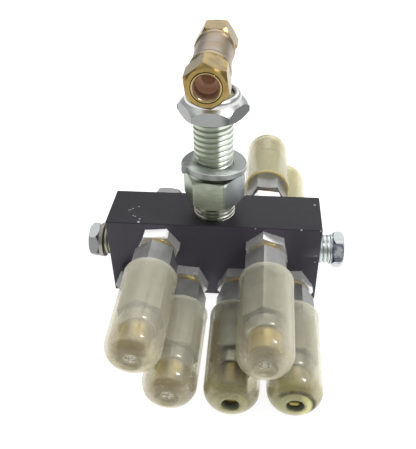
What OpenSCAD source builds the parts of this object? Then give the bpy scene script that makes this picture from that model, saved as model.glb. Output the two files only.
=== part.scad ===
// Lubrication divider block with capped metering units
//
// A drilled manifold bar takes a bulkhead stud on top, a compression tee on the stud, blanking
// plugs at its ends, and metering units in two zigzag rows of ports, front and back. Each unit
// is a hexagon base, a brass barrel with a sprung piston, a hexagon sleeve and a push-on cap.
// The origin is on the stud's axis at the face that a panel seats on. +X runs along the bar,
// -Y is the side with most units, and +Z points up the stud. Lengths are in millimetres.

/* [Manifold block] */
// Length of the bar along X
block_l = 68.5; // [64:0.5:90]
// Depth of the bar along Y
block_d = 18.2; // [17:0.1:26]
// Height of the bar along Z
block_h = 29.1; // [27:0.1:40]
// Chamfer on every edge of the bar
block_chamfer = 0.2; // [0.1:0.1:1.2]
// Diameter of the main gallery along the bar
gallery_d = 5; // [3:0.1:5.4]

/* [Ports] */
// Distance from the bar's end to the nearest port of the zigzag
port_margin = 8.25; // [7:0.05:9]
// Height of the lower row of ports above the bar's bottom face
port_low = 6.0; // [5.5:0.1:6.4]
// Height of the upper row of ports above the bar's bottom face
port_high = 21.1; // [20.8:0.1:22]
// Diameter of a port's tapped hole
port_d = 8; // [7:0.1:8.2]
// Depth of a port's tapped hole
port_depth = 7; // [5:0.1:7.2]
// Diameter of the drilling from a port to the gallery
feed_d = 2.2; // [1.5:0.1:2.6]

/* [Metering units] */
// Across flats of the hexagon base and sleeve
unit_af = 12; // [11:0.1:12.2]
// Thickness of the hexagon base outside the bar
base_t = 3.9; // [3:0.1:5]
// Length of the bare brass neck between base and sleeve
neck_l = 2.2; // [1:0.1:3]
// Diameter of the brass neck
neck_d = 10.2; // [9.6:0.1:10.8]
// Length of the hexagon part of the sleeve
sleeve_l = 27.4; // [24:0.1:32]
// Length of the turned shoulder at the end of the sleeve
shoulder_l = 4.0; // [3:0.1:5]
// Diameter of the brass barrel
barrel_d = 8.8; // [8.4:0.1:9.2]
// Length of barrel that stands out of the shoulder
nose_l = 7; // [5:0.1:8]
// Diameter of the socket for the outlet pipe
outlet_d = 4.2; // [3:0.1:5]
// Depth of the socket for the outlet pipe
outlet_depth = 8; // [6:0.1:9]

/* [Piston and spring] */
// Diameter of the cylinder bore in the barrel
cylinder_d = 5; // [4:0.1:5.4]
// Length of the piston's full diameter
piston_l = 8; // [6:0.1:9]
// Stroke of the piston
piston_stroke = 4; // [2:0.1:5]
// Diameter of the spring's wire
spring_wire = 0.5; // [0.3:0.05:0.6]
// Number of turns of the spring
spring_turns = 6; // [4:1:8]

/* [Caps] */
// Distance from the bar's face to the cap's open rim
cap_rim = 15.9; // [12:0.1:18]
// Distance from the bar's face to the cap's closed end
cap_end = 48.2; // [47.6:0.1:52]
// Outer diameter of the cap at its rim
cap_rim_d = 16.4; // [16.2:0.1:16.8]
// Outer diameter of the cap where its end begins to round
cap_end_d = 15.6; // [15.5:0.1:16]
// Radius of the rounded end
cap_round = 5.4; // [4:0.1:6]
// Wall thickness of the cap
cap_wall = 0.85; // [0.6:0.05:0.9]
// Diameter of the round gate mark, or of the hole in a pierced cap
gate_d = 5.2; // [3:0.1:5.6]
// Depth of the gate mark in the end
gate_depth = 0.6; // [0.2:0.1:0.7]
// Thickness of the cap's closed end
cap_end_wall = 1; // [0.8:0.1:1.2]

/* [Bulkhead stud] */
// Height of the panel seat above the bar's top face
seat_h = 15.4; // [14:0.1:20]
// Height of the stud's hexagon
stud_hex_h = 10; // [8:0.1:12]
// Across flats of the stud's hexagon
stud_hex_af = 17; // [16:0.1:19]
// Turn of the stud's hexagon about Z, in degrees
stud_hex_turn = -6.6; // [-30:0.1:30]
// Diameter of the panel thread
stud_d = 12; // [11:0.1:12.4]
// Length of the panel thread above the seat
stud_l = 25.2; // [24:0.1:30]
// Diameter of the thread in the bar
root_d = 13.4; // [12.6:0.1:14]
// Depth of the thread in the bar
root_depth = 8.5; // [6:0.1:9]
// Diameter of the oil way through the stud
stud_bore_d = 5; // [3:0.1:5.4]

/* [Washer and lock nut] */
// Width of the spring washer's section
spring_washer_w = 4; // [3:0.1:4.4]
// Height of the spring washer's section
spring_washer_t = 2.3; // [2:0.1:3]
// Rise of the washer's free end over its flat half
spring_washer_rise = 2.2; // [1:0.1:2.4]
// Angle of the middle of the washer's split, in degrees
split_angle = 204; // [0:1:359]
// Width of the washer's split, in degrees
split_width = 26; // [10:1:40]
// Slant of the split's faces from top to bottom, in degrees
split_slant = 20; // [0:1:30]
// Height of the lock nut's lower face above the seat
nut_z = 18.8; // [16.6:0.1:18.8]
// Across flats of the lock nut
nut_af = 18; // [17.6:0.1:20]
// Height of the lock nut's hexagon
nut_hex_h = 4.9; // [4:0.1:5.4]
// Full height of the lock nut with its collar
nut_h = 6.9; // [6.6:0.1:7.2]
// Width of the rolled collar round the thread
nut_collar_w = 1.9; // [1.5:0.1:2.2]
// Height of the nylon insert
insert_h = 2.2; // [1.6:0.1:2.4]

/* [Tee] */
// Height of the tee's run above the seat
tee_z = 34.5; // [34.2:0.1:37]
// Diameter of the tee's run between its nuts
tee_body_d = 11.6; // [11:0.1:12]
// Distance from the stud's axis to the outer face of a tee nut
tee_reach = 18.5; // [18:0.1:21]
// Length of a tee nut
tee_nut_l = 8.9; // [8.4:0.1:9.4]
// Across flats of a tee nut
tee_nut_af = 11.1; // [10.8:0.1:12]
// Diameter of the thread under a tee nut
tee_thread_d = 9.6; // [9.2:0.1:9.8]
// Outer diameter of the compression sleeve
tee_sleeve_d = 8; // [7.8:0.1:8.2]
// Bore of the compression sleeve, which takes the pipe
tee_pipe_d = 6.4; // [6.2:0.1:6.6]
// Diameter of the tee's branch thread in the stud
branch_d = 8; // [7:0.1:8.4]
// Depth of the tee's branch thread in the stud
branch_depth = 7; // [5:0.1:9]

/* [End plugs] */
// Diameter of an end plug's thread
end_plug_d = 9.7; // [8.4:0.1:10]
// Across flats of an end plug's head
end_plug_af = 10.5; // [10.4:0.1:12]
// Thickness of an end plug's head
end_plug_head = 3.5; // [3:0.1:5]
// Distance from the bar's end to the outer face of an end plug
end_plug_reach = 8.4; // [7:0.1:10]
// Depth of an end plug in the bar
end_plug_depth = 5; // [4:0.1:5.2]
// Thickness of the sealing washer under the left plug's head
seal_t = 1.5; // [0.8:0.1:2]
// Outer diameter of the sealing washer
seal_d = 11.7; // [11:0.1:12]

/* [Port plugs and rear hexagons] */
// Thickness of a port plug's head
port_plug_head = 4; // [3:0.1:6]
// Extra thickness of the hexagons that seat on the bar's back
rear_extra = 1.8; // [0:0.1:3]

/* [Fits] */
// Radial clearance of a piece in the threaded or bored hole that holds it
fit = 0.05; // [0.02:0.01:0.08]
// Radial clearance of the piston in its cylinder
piston_fit = 0.03; // [0.02:0.01:0.06]
// Gap left at a seat that is not pulled tight
seat_gap = 0.1; // [0.05:0.05:0.3]

/* [Hidden] */
$fn = 48;

// Units in order: side (-1 front, 1 back), column in port pitches, row (0 low, 1 high), turns
// of the base and of the sleeve in degrees, whether the cap's end is pierced, and how much
// further out than the rest the cap sits
UNITS = [
    [-1, -2, 1, 6, 35, false, 0.2],
    [-1, -1, 0, 55, 46, false, -0.35],
    [-1, 1, 0, 3, 10, true, 0.25],
    [-1, 2, 1, 41, 38, false, -0.2],
    [-1, 3, 0, 4, 6, true, -0.7],
    [1, 1.96, 1, 5, 1, false, -2.3],
    [1, 2.86, 0, 20, 10, false, -0.5]
];
// Plugged ports: side, column, row and turn of the head in degrees
PLUG_FRONT = [[-1, -3, 0, 9]];
PLUG_REAR_HIGH = [[1, -2, 1, 3]];
PLUGS_REAR_LOW = [[1, -3, 0, 10], [1, -1, 0, 25], [1, 1, 0, 40]];
PORTS = concat(UNITS, PLUG_FRONT, PLUG_REAR_HIGH, PLUGS_REAR_LOW);

UNIT_PARTS = ["base", "barrel", "sleeve", "piston", "spring", "cap"];

// Extra length of every cutting tool past the face that it opens
cut = 1;
// Heights of the bar's top face, middle and bottom face
block_top = -seat_h;
block_mid = block_top - block_h / 2;
block_bottom = block_top - block_h;
// Ratio of a hexagon's width across corners to its width across flats
hex_ratio = 2 / sqrt(3);
// Distance along X between one port and the next: the outermost stand six of them apart
port_pitch = (block_l - 2 * port_margin) / 6;

// Distances along a unit's axis from the bar's face
sleeve_start = base_t + neck_l;
sleeve_end = sleeve_start + sleeve_l;
nose_start = sleeve_end + shoulder_l;
barrel_end = nose_start + nose_l;
// The base's socket holds the barrel's foot, and the pocket under it holds the inlet valve
foot_d = 8;
foot_start = 1.1;
pocket_d = 6;
pocket_start = foot_start - 2.4;
inlet_d = 2.4;
// The piston starts against the floor of its cylinder, and the spring ends at its roof
cylinder_start = sleeve_start + 0.4;
piston_tail_l = 1.6;
piston_tail_d = cylinder_d - 2 * spring_wire - 1;
spring_start = cylinder_start + piston_l;
spring_end = spring_start + piston_tail_l + piston_stroke + spring_turns * spring_wire + 1.4;
spring_mean_d = cylinder_d - spring_wire - 0.5;

// Sizes inside the tee
tee_face = tee_reach - tee_nut_l;
tee_body_end = tee_face - seat_gap;
tee_nut_lip = 3.1;
tee_thread_end = tee_reach - tee_nut_lip;
tee_way_d = 4;
tee_pipe_stop = 4;
tee_seat_depth = 0.9;
tee_seat_start = tee_thread_end - tee_seat_depth;
branch_seat = stud_l;

// Sizes inside the lock nut: the collar's lip, the insert's groove and the lip over it
nut_lip_d = stud_d + 2 * nut_collar_w;
nut_groove_d = nut_lip_d - 1.6;
nut_roof = 0.7;

// Solid of revolution about Z from a list of [radius, height] points
module turned(points) {
    rotate_extrude() polygon(points);
}

// Hexagon bar of a given width across flats, chamfered where asked at its lower and upper end:
// chamfer is the cone's height at a corner, inset the width that it takes off a flat
module hex_bar(af, h, low = true, high = true, chamfer = 0.7, inset = 0.1) {
    corner = af * hex_ratio / 2;
    flat = af / 2 - inset;
    reach = corner + cut;
    rise = chamfer * (reach - flat) / (corner - flat);
    intersection() {
        cylinder(d = 2 * corner, h = h, $fn = 6);
        turned([
            [0, 0], [low ? flat : reach, 0], [reach, low ? rise : 0],
            [reach, high ? h - rise : h], [high ? flat : reach, h], [0, h]
        ]);
    }
}

// Bore along Z that opens past both of its ends
module bore(d, from, to, past_from = 0, past_to = 0) {
    translate([0, 0, from - past_from])
        cylinder(d = d, h = to - from + past_from + past_to);
}

// Rectangle with its four corners cut at 45 degrees
module chamfered_rect(w, h, c) {
    x = w / 2;
    y = h / 2;
    polygon([
        [-x + c, -y], [x - c, -y], [x, -y + c], [x, y - c],
        [x - c, y], [-x + c, y], [-x, y - c], [-x, -y + c]
    ]);
}

// Places children on a port with +Z pointing out of the bar, turned about it in degrees
module at_port(p, turn = 0) {
    translate([p[1] * port_pitch, p[0] * block_d / 2, port_z(p)])
        rotate([-90 * p[0], 0, 0])
            rotate([0, 0, turn])
                children();
}

// Places children on the hexagon that seats on a port, further out on the bar's back
module on_base(p, turn = 0) {
    at_port(p, turn) translate([0, 0, extra(p)]) children();
}

function port_z(p) = block_bottom + (p[2] == 0 ? port_low : port_high);
function extra(p) = p[0] > 0 ? rear_extra : 0;

// Drilling from the floor of a port to the gallery's axis
module feed(p) {
    dy = block_d / 2 - port_depth;
    dz = block_mid - port_z(p);
    length = sqrt(dy * dy + dz * dz);
    translate([p[1] * port_pitch, p[0] * dy, port_z(p)])
        rotate([atan2(p[0] * dy, dz), 0, 0])
            translate([0, 0, -feed_d / 4])
                cylinder(d = feed_d, h = length + feed_d / 4);
}

module manifold_block() {
    color("#3a373c") difference() {
        translate([0, 0, block_mid]) intersection() {
            rotate([90, 0, 0])
                linear_extrude(block_d, center = true)
                    chamfered_rect(block_l, block_h, block_chamfer);
            rotate([90, 0, 90])
                linear_extrude(block_l, center = true)
                    chamfered_rect(block_d, block_h, block_chamfer);
            linear_extrude(block_h, center = true)
                chamfered_rect(block_l, block_d, block_chamfer);
        }
        for (p = PORTS) {
            at_port(p) bore(port_d, -port_depth, 0, 0, cut);
            feed(p);
        }
        bore(root_d, block_top - root_depth, block_top, 0, cut);
        bore(stud_bore_d, block_mid, block_top - root_depth, 0, cut);
        translate([0, 0, block_mid]) rotate([0, 90, 0]) {
            bore(gallery_d, -block_l / 2, block_l / 2, cut, cut);
            bore(end_plug_d, block_l / 2 - end_plug_depth, block_l / 2, 0, cut);
            bore(end_plug_d, -block_l / 2, end_plug_depth - block_l / 2, cut, 0);
        }
    }
}

// Hexagon-headed plug standing on Z = 0 with its thread below, at a height above its seat
module headed_plug(thread_d, thread_l, stand, af, head, groove = 0) {
    r = thread_d / 2 - fit;
    turned([
        [0, -thread_l], [r - 0.5, -thread_l], [r, 0.5 - thread_l],
        [r, stand - groove], [r - min(groove, 0.5), stand - groove / 2],
        [r - min(groove, 0.5), stand + head / 2], [0, stand + head / 2]
    ]);
    translate([0, 0, stand]) hex_bar(af, head, groove > 0, true);
}

module end_plug_right() {
    color("#c3cbc5") translate([block_l / 2, 0, block_mid])
        rotate([0, 90, 0]) rotate([0, 0, 33])
            headed_plug(end_plug_d, end_plug_depth, end_plug_reach - end_plug_head,
                        end_plug_af, end_plug_head, 0.9);
}

module end_plug_left() {
    color("#b9c2bb") translate([-block_l / 2, 0, block_mid])
        rotate([0, -90, 0]) rotate([0, 0, 17])
            headed_plug(end_plug_d, end_plug_depth, end_plug_reach - end_plug_head,
                        end_plug_af, end_plug_head);
}

module end_plug_seal() {
    stand = end_plug_reach - end_plug_head;
    color("#c9ccc6") translate([-block_l / 2, 0, block_mid]) rotate([0, -90, 0])
        difference() {
            bore(seal_d, stand - seal_t, stand);
            bore(end_plug_d, stand - seal_t, stand, cut, cut);
        }
}

module port_plug(p) {
    at_port(p, p[3])
        headed_plug(port_d, port_depth - 0.5, 0, unit_af, port_plug_head + extra(p));
}

module port_plug_front() {
    color("#8e9093") for (p = PLUG_FRONT) port_plug(p);
}

module port_plug_rear_high() {
    color("#8e9093") for (p = PLUG_REAR_HIGH) port_plug(p);
}

module port_plugs_rear_low() {
    color("#8e9093") for (p = PLUGS_REAR_LOW) port_plug(p);
}

// Bulkhead stud: thread in the bar, hexagon with the panel seat, panel thread, oil way, and a
// tapped top for the tee's branch
module bulkhead_stud() {
    root_r = root_d / 2 - fit;
    hex_low = -stud_hex_h;
    tip = 0.8;
    color("#bcc6b8") difference() {
        union() {
            turned([
                [0, block_top - root_depth], [root_r - tip, block_top - root_depth],
                [root_r, block_top - root_depth + tip], [root_r, hex_low + 1], [0, hex_low + 1]
            ]);
            translate([0, 0, hex_low]) rotate([0, 0, stud_hex_turn])
                hex_bar(stud_hex_af, stud_hex_h, true, true, 1.1);
            turned([
                [0, -1], [stud_d / 2, -1], [stud_d / 2, stud_l - tip],
                [stud_d / 2 - tip, stud_l], [0, stud_l]
            ]);
        }
        bore(stud_bore_d, block_top - root_depth, stud_l, cut, cut);
        bore(branch_d, stud_l - branch_depth - cut, stud_l, 0, cut);
    }
}

// Height of the washer's underside at an angle: raised at the free end, and flat on the seat
// from half a turn on
function washer_lift(a) =
    let (ease = min(1, max(0, (a - split_angle - split_width) / 170)))
    spring_washer_rise * (1 + cos(180 * ease)) / 2;

// Split spring washer: a square-cut section swept round the stud and down to the seat, with
// slanted faces at the split
module spring_washer() {
    steps = 72;
    inner = stud_d / 2 + 0.2;
    outer = inner + spring_washer_w;
    half = spring_washer_t / 2;
    corners = [[inner, -half], [outer, -half], [outer, half], [inner, half]];
    n = len(corners);
    start = split_angle + split_width / 2;
    turn = 360 - split_width;
    points = [
        for (i = [0:steps]) for (c = corners)
            let (a = start + turn * i / steps - split_slant * c[1] / spring_washer_t)
            [c[0] * cos(a), c[0] * sin(a), half + c[1] + washer_lift(a)]
    ];
    walls = [
        for (i = [0:steps - 1]) for (k = [0:n - 1])
            [i * n + k, i * n + (k + 1) % n, (i + 1) * n + (k + 1) % n, (i + 1) * n + k]
    ];
    ends = [[for (k = [n - 1:-1:0]) k], [for (k = [0:n - 1]) steps * n + k]];
    color("#7d8384") polyhedron(points = points, faces = concat(walls, ends), convexity = 4);
}

// Lock nut: hexagon with a rolled collar that traps the nylon insert
module lock_nut() {
    corner = nut_af * hex_ratio / 2;
    lip = nut_lip_d / 2;
    lip_hole_d = stud_d + 0.4;
    color("#c6cdca") translate([0, 0, nut_z]) difference() {
        union() {
            intersection() {
                cylinder(d = 2 * corner, h = nut_hex_h, $fn = 6);
                turned([
                    [0, 0], [nut_af / 2 - 0.2, 0], [corner, 1], [corner + cut, 1],
                    [corner + cut, nut_hex_h - 2.2], [corner, nut_hex_h - 2.2],
                    [corner - 0.6, nut_hex_h - 1.3], [lip + 0.5, nut_hex_h], [0, nut_hex_h]
                ]);
            }
            turned(concat(
                [[0, nut_hex_h - 1], [lip + 0.3, nut_hex_h - 1], [lip + 0.3, nut_hex_h]],
                [for (a = [0:15:90])
                    [lip - 0.9 + 1.2 * cos(a), nut_hex_h + 0.6 + (nut_h - nut_hex_h - 0.6) * sin(a)]],
                [[0, nut_h]]
            ));
        }
        bore(stud_d + 2 * fit, 0, nut_h, cut, cut);
        bore(lip_hole_d, nut_h - cut, nut_h, 0, cut);
        bore(nut_groove_d, nut_h - nut_roof - insert_h, nut_h - nut_roof);
        turned([
            [0, -cut], [stud_d / 2 + 0.6 + cut, -cut], [stud_d / 2, 0.6], [0, 0.6]
        ]);
    }
}

module lock_nut_insert() {
    color("#3f3f8c") translate([0, 0, nut_z + nut_h - nut_roof - insert_h]) difference() {
        cylinder(d = nut_groove_d - 2 * fit, h = insert_h);
        bore(stud_d + 2 * fit, 0, insert_h, cut, cut);
    }
}

// Places children at one end of the tee's run with +Z pointing outwards, side -1 or 1
module at_tee(side) {
    translate([0, 0, tee_z]) rotate([-90 * side, 0, 0]) children();
}

// Tee body: turned run with a raised ring and a thread at each end, and a branch that screws
// into the stud
module tee_body() {
    r = tee_body_d / 2;
    thread_r = tee_thread_d / 2 - fit;
    branch_r = branch_d / 2 - fit;
    color("#b08560") difference() {
        union() {
            for (side = [-1, 1]) at_tee(side) turned([
                [0, 0], [r - 0.35, 0], [r - 0.35, tee_body_end - 2.6], [r, tee_body_end - 2.3],
                [r, tee_body_end - 0.4], [r - 0.4, tee_body_end], [thread_r - 0.4, tee_body_end],
                [thread_r, tee_body_end + 0.5], [thread_r, tee_thread_end - 0.4],
                [thread_r - 0.4, tee_thread_end], [0, tee_thread_end]
            ]);
            turned([
                [0, branch_seat - branch_depth], [branch_r - 0.5, branch_seat - branch_depth],
                [branch_r, branch_seat - branch_depth + 0.5], [branch_r, branch_seat],
                [branch_r + 1.1, branch_seat], [branch_r + 1.1, tee_z], [0, tee_z]
            ]);
        }
        for (side = [-1, 1]) at_tee(side) {
            bore(tee_way_d, 0, tee_thread_end, 0, cut);
            bore(tee_pipe_d, tee_thread_end - tee_pipe_stop, tee_thread_end, 0, cut);
            turned([
                [0, tee_seat_start], [tee_pipe_d / 2, tee_seat_start],
                [tee_pipe_d / 2 + tee_seat_depth + fit, tee_thread_end + fit],
                [0, tee_thread_end + fit]
            ]);
        }
        bore(tee_way_d, branch_seat - branch_depth, tee_z, cut, 0);
    }
}

// Compression nut: thread, cone over the sleeve, and a clear hole at its outer face
module tee_nut(side, turn) {
    sleeve_r = tee_sleeve_d / 2 + fit;
    thread_r = tee_thread_d / 2;
    color("#c9a44c") at_tee(side) difference() {
        translate([0, 0, tee_face]) rotate([0, 0, turn])
            hex_bar(tee_nut_af, tee_nut_l, true, true, 1, 0.35);
        turned([
            [0, tee_face - cut], [thread_r, tee_face - cut], [thread_r, tee_thread_end + 0.7],
            [sleeve_r, tee_thread_end + 1.6], [sleeve_r, tee_reach - 0.3],
            [sleeve_r + 0.3, tee_reach], [sleeve_r + 0.3, tee_reach + cut], [0, tee_reach + cut]
        ]);
    }
}

module tee_nut_front() {
    tee_nut(-1, -17);
}

module tee_nut_rear() {
    tee_nut(1, 0);
}

// Compression sleeve: a tube with a double cone where the nut presses it on the body's seat
module tee_sleeve(side) {
    r = tee_sleeve_d / 2;
    rim = tee_pipe_d / 2 + seat_gap;
    ridge = r + 0.45;
    foot = tee_seat_start + seat_gap + fit;
    color("#b58a4a") at_tee(side) difference() {
        turned([
            [0, foot], [rim, foot], [ridge, foot + ridge - rim], [ridge, tee_thread_end + 0.75],
            [r, tee_thread_end + 1.2], [r, tee_reach - 0.3], [0, tee_reach - 0.3]
        ]);
        bore(tee_pipe_d, foot, tee_reach, cut, cut);
    }
}

module tee_sleeve_front() {
    tee_sleeve(-1);
}

module tee_sleeve_rear() {
    tee_sleeve(1);
}

// Hexagon base that screws into a port, with the inlet way, valve pocket and barrel socket
module unit_base(p) {
    r = port_d / 2 - fit;
    foot = 0.5 - port_depth;
    color("#a3a6aa") at_port(p, p[3]) difference() {
        union() {
            turned([
                [0, foot], [r - 0.5, foot], [r, foot + 0.5], [r, base_t / 2], [0, base_t / 2]
            ]);
            hex_bar(unit_af, base_t + extra(p), false, true, 0.15, 0.05);
        }
        bore(inlet_d, foot, pocket_start + extra(p), cut, cut);
        translate([0, 0, extra(p)]) {
            bore(pocket_d, pocket_start, foot_start, 0, cut);
            bore(foot_d, foot_start, base_t, 0, cut);
        }
    }
}

// Umbrella valve on the floor of the base's pocket, with its stem in the inlet way
module inlet_valve(p) {
    r = pocket_d / 2 - 0.4;
    on_base(p) translate([0, 0, pocket_start]) turned([
        [0, -1.6], [0.5, -1.6], [0.9, -1.2], [0.6, -0.8], [0.6, 0], [r, 0],
        [r, 0.3], [1.2, 0.9], [0, 0.9]
    ]);
}

module inlet_valves() {
    color("#2b2b2b") for (p = UNITS) inlet_valve(p);
}

// Brass barrel: foot, neck, cylinder and nose with the outlet socket
module unit_barrel(p) {
    r = barrel_d / 2;
    nose_round = 0.8;
    color("#c7a044") on_base(p) difference() {
        turned(concat(
            [[0, foot_start], [foot_d / 2 - fit, foot_start], [foot_d / 2 - fit, base_t],
             [neck_d / 2, base_t], [neck_d / 2, sleeve_start], [r, sleeve_start]],
            [for (a = [0:22.5:90])
                [r - nose_round + nose_round * cos(a), barrel_end - nose_round + nose_round * sin(a)]],
            [[0, barrel_end]]
        ));
        bore(inlet_d, foot_start, cylinder_start, cut, cut);
        bore(cylinder_d, cylinder_start, spring_end);
        bore(feed_d, spring_end, barrel_end - outlet_depth, cut, cut);
        bore(outlet_d, barrel_end - outlet_depth, barrel_end, 0, cut);
        turned([
            [0, barrel_end - 0.8], [outlet_d / 2, barrel_end - 0.8],
            [outlet_d / 2 + 0.8, barrel_end], [outlet_d / 2 + 0.8, barrel_end + cut],
            [0, barrel_end + cut]
        ]);
    }
}

// Hexagon sleeve with a turned shoulder that rounds down to the barrel
module unit_sleeve(p) {
    bore_r = barrel_d / 2 + fit;
    top_r = barrel_d / 2 + 0.55;
    flat_r = unit_af / 2 - 0.1;
    color("#9da0a4") on_base(p, p[4]) difference() {
        union() {
            translate([0, 0, sleeve_start]) hex_bar(unit_af, sleeve_l, true, true, 0.4);
            turned(concat(
                [[0, sleeve_end - 1], [flat_r, sleeve_end - 1], [flat_r, sleeve_end]],
                [for (a = [0:15:90])
                    [top_r + (flat_r - top_r) * cos(a), sleeve_end + shoulder_l * sin(a)]],
                [[0, nose_start]]
            ));
        }
        bore(2 * bore_r, sleeve_start, nose_start, cut, cut);
    }
}

module unit_piston(p) {
    r = cylinder_d / 2 - piston_fit;
    color("#9a9c9e") on_base(p) translate([0, 0, cylinder_start]) turned([
        [0, 0.1], [r - 0.3, 0.1], [r, 0.4], [r, piston_l * 0.55], [r - 0.3, piston_l * 0.55 + 0.2],
        [r - 0.3, piston_l * 0.55 + 0.9], [r, piston_l * 0.55 + 1.1], [r, piston_l],
        [piston_tail_d / 2, piston_l], [piston_tail_d / 2, piston_l + piston_tail_l - 0.3],
        [piston_tail_d / 2 - 0.3, piston_l + piston_tail_l], [0, piston_l + piston_tail_l]
    ]);
}

// Return spring: round wire along a helix between the piston and the cylinder's roof
module unit_spring(p) {
    sides = 6;
    per_turn = 12;
    r = spring_wire / 2;
    low = spring_start + r + seat_gap / 2;
    high = spring_end - r - seat_gap / 2;
    count = spring_turns * per_turn;
    points = [
        for (i = [0:count]) for (k = [0:sides - 1])
            let (a = 360 * i / per_turn, b = 360 * k / sides,
                 radius = spring_mean_d / 2 + r * cos(b))
            [radius * cos(a), radius * sin(a), low + (high - low) * i / count + r * sin(b)]
    ];
    walls = [
        for (i = [0:count - 1]) for (k = [0:sides - 1])
            [i * sides + k, (i + 1) * sides + k,
             (i + 1) * sides + (k + 1) % sides, i * sides + (k + 1) % sides]
    ];
    ends = [[for (k = [0:sides - 1]) k], [for (k = [sides - 1:-1:0]) count * sides + k]];
    color("#85888a") on_base(p)
        polyhedron(points = points, faces = concat(walls, ends), convexity = 10);
}

// Push-on cap: drafted wall, rounded end, and either a sunk gate mark or a pierced hole in it
module unit_cap(p) {
    bend = cap_end - cap_round;
    rim_r = cap_rim_d / 2;
    end_r = cap_end_d / 2;
    inner_round = cap_round - cap_wall;
    inner_r = end_r - cap_wall;
    inner_bend = cap_end - cap_end_wall - inner_round;
    color("#cfc9a4", 0.55) on_base(p) translate([0, 0, p[6]]) difference() {
        turned(concat(
            [[0, cap_rim], [rim_r - 0.2, cap_rim], [rim_r, cap_rim + 0.2]],
            [for (a = [0:15:90])
                [end_r - cap_round + cap_round * cos(a), bend + cap_round * sin(a)]],
            [[0, cap_end]]
        ));
        turned(concat(
            [[0, cap_rim - cut], [rim_r - cap_wall, cap_rim - cut], [rim_r - cap_wall, cap_rim]],
            [for (a = [0:15:90])
                [inner_r - inner_round + inner_round * cos(a), inner_bend + inner_round * sin(a)]],
            [[0, inner_bend + inner_round]]
        ));
        if (p[5]) {
            bore(gate_d, bend, cap_end, 0, cut);
        } else {
            turned([
                [0, cap_end - gate_depth], [gate_d / 2 - 0.1, cap_end - gate_depth],
                [gate_d / 2, cap_end + cut], [0, cap_end + cut]
            ]);
        }
    }
}

manifold_block();
end_plug_right();
end_plug_left();
end_plug_seal();
bulkhead_stud();
spring_washer();
lock_nut();
lock_nut_insert();
tee_body();
tee_nut_front();
tee_nut_rear();
tee_sleeve_front();
tee_sleeve_rear();
port_plug_front();
port_plug_rear_high();
port_plugs_rear_low();
inlet_valves();
for (i = [1:len(UNITS)]) {
    p = UNITS[i - 1];
    name = str("unit_", i, "_");
    unit_base(p);
    unit_barrel(p);
    unit_sleeve(p);
    unit_piston(p);
    unit_spring(p);
    unit_cap(p);
}
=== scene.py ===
"""Lubrication divider block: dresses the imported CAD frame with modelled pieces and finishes.

Sizes and places are in millimetres up to the calls that hand them to Blender in metres.
"""

import math
from types import SimpleNamespace
from typing import NamedTuple

import bpy
from mathutils import Matrix, Vector


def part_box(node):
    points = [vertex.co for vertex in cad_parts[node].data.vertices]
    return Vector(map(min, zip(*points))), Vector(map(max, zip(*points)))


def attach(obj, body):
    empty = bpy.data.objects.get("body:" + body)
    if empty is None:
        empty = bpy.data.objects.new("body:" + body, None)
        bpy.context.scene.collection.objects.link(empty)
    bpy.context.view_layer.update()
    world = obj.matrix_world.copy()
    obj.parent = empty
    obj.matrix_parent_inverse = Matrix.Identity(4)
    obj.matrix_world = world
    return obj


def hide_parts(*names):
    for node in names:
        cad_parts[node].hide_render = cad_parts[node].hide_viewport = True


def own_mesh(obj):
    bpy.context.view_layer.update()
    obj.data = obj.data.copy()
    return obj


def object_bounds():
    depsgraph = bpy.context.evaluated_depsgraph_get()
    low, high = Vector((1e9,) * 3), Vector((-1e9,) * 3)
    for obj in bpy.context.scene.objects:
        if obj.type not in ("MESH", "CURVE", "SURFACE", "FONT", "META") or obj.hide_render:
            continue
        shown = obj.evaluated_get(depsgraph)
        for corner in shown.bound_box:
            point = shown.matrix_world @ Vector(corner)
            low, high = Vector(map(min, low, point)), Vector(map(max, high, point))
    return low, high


bl_info = {
    "name": "Lubrication divider block",
    "version": (1, 0, 0),
    "blender": (4, 5, 0),
    "location": "3D View > Sidebar > Divider",
    "description": "Models the divider block's pieces and their finishes round the CAD frame",
    "category": "Object",
}

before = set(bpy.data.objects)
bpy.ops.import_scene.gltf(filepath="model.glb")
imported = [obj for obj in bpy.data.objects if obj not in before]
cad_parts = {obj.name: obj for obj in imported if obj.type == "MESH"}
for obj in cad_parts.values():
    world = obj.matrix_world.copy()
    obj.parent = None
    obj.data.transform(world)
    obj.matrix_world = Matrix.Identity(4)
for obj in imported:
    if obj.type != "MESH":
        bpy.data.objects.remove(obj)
CAD_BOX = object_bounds()

MM = 0.001
BAR_LOW, BAR_HIGH = (Vector(corner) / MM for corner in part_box("manifold_block"))
BAR_END, BAR_FACE, BAR_TOP = BAR_HIGH
BAR_MID = (BAR_HIGH.z + BAR_LOW.z) / 2
PORT_PITCH = 52 / 6
PORT_ROWS = (6.0, 21.1)
PORT_THREAD_R, PORT_THREAD_L = 3.95, 6.5
INLET_R = 1.2
CHAMBER_R, CHAMBER_END = 2.5, 24.5
SPRING_LOW, SPRING_TURNS, SPRING_KEEP = 14.52, 6, 0.6
STUD_HEX_LOW, STUD_HEX_TURN = -10.0, -6.6
STUD_THREAD_DEPTH, ROOT_THREAD_DEPTH = 0.64, 0.72
SPLIT_START, SPLIT_TURN, SPLIT_SLANT = 217.0, 334.0, 10.0
SPLIT_RISE, RISE_START, RISE_SPAN = 2.2, 230.0, 170.0
TEE_HEIGHT, TEE_REACH, TEE_NUT_L = 34.5, 18.5, 8.9
TEE_BORE, TEE_PIPE_R, TEE_STEM_R = 2.0, 3.2, 5.0
END_THREAD_D, END_THREAD_DEPTH, END_THREAD_PITCH = 9.6, 0.6, 1.34
BLACK, WHITE = (0.0, 0.0, 0.0), (1.0, 1.0, 1.0)


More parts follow.
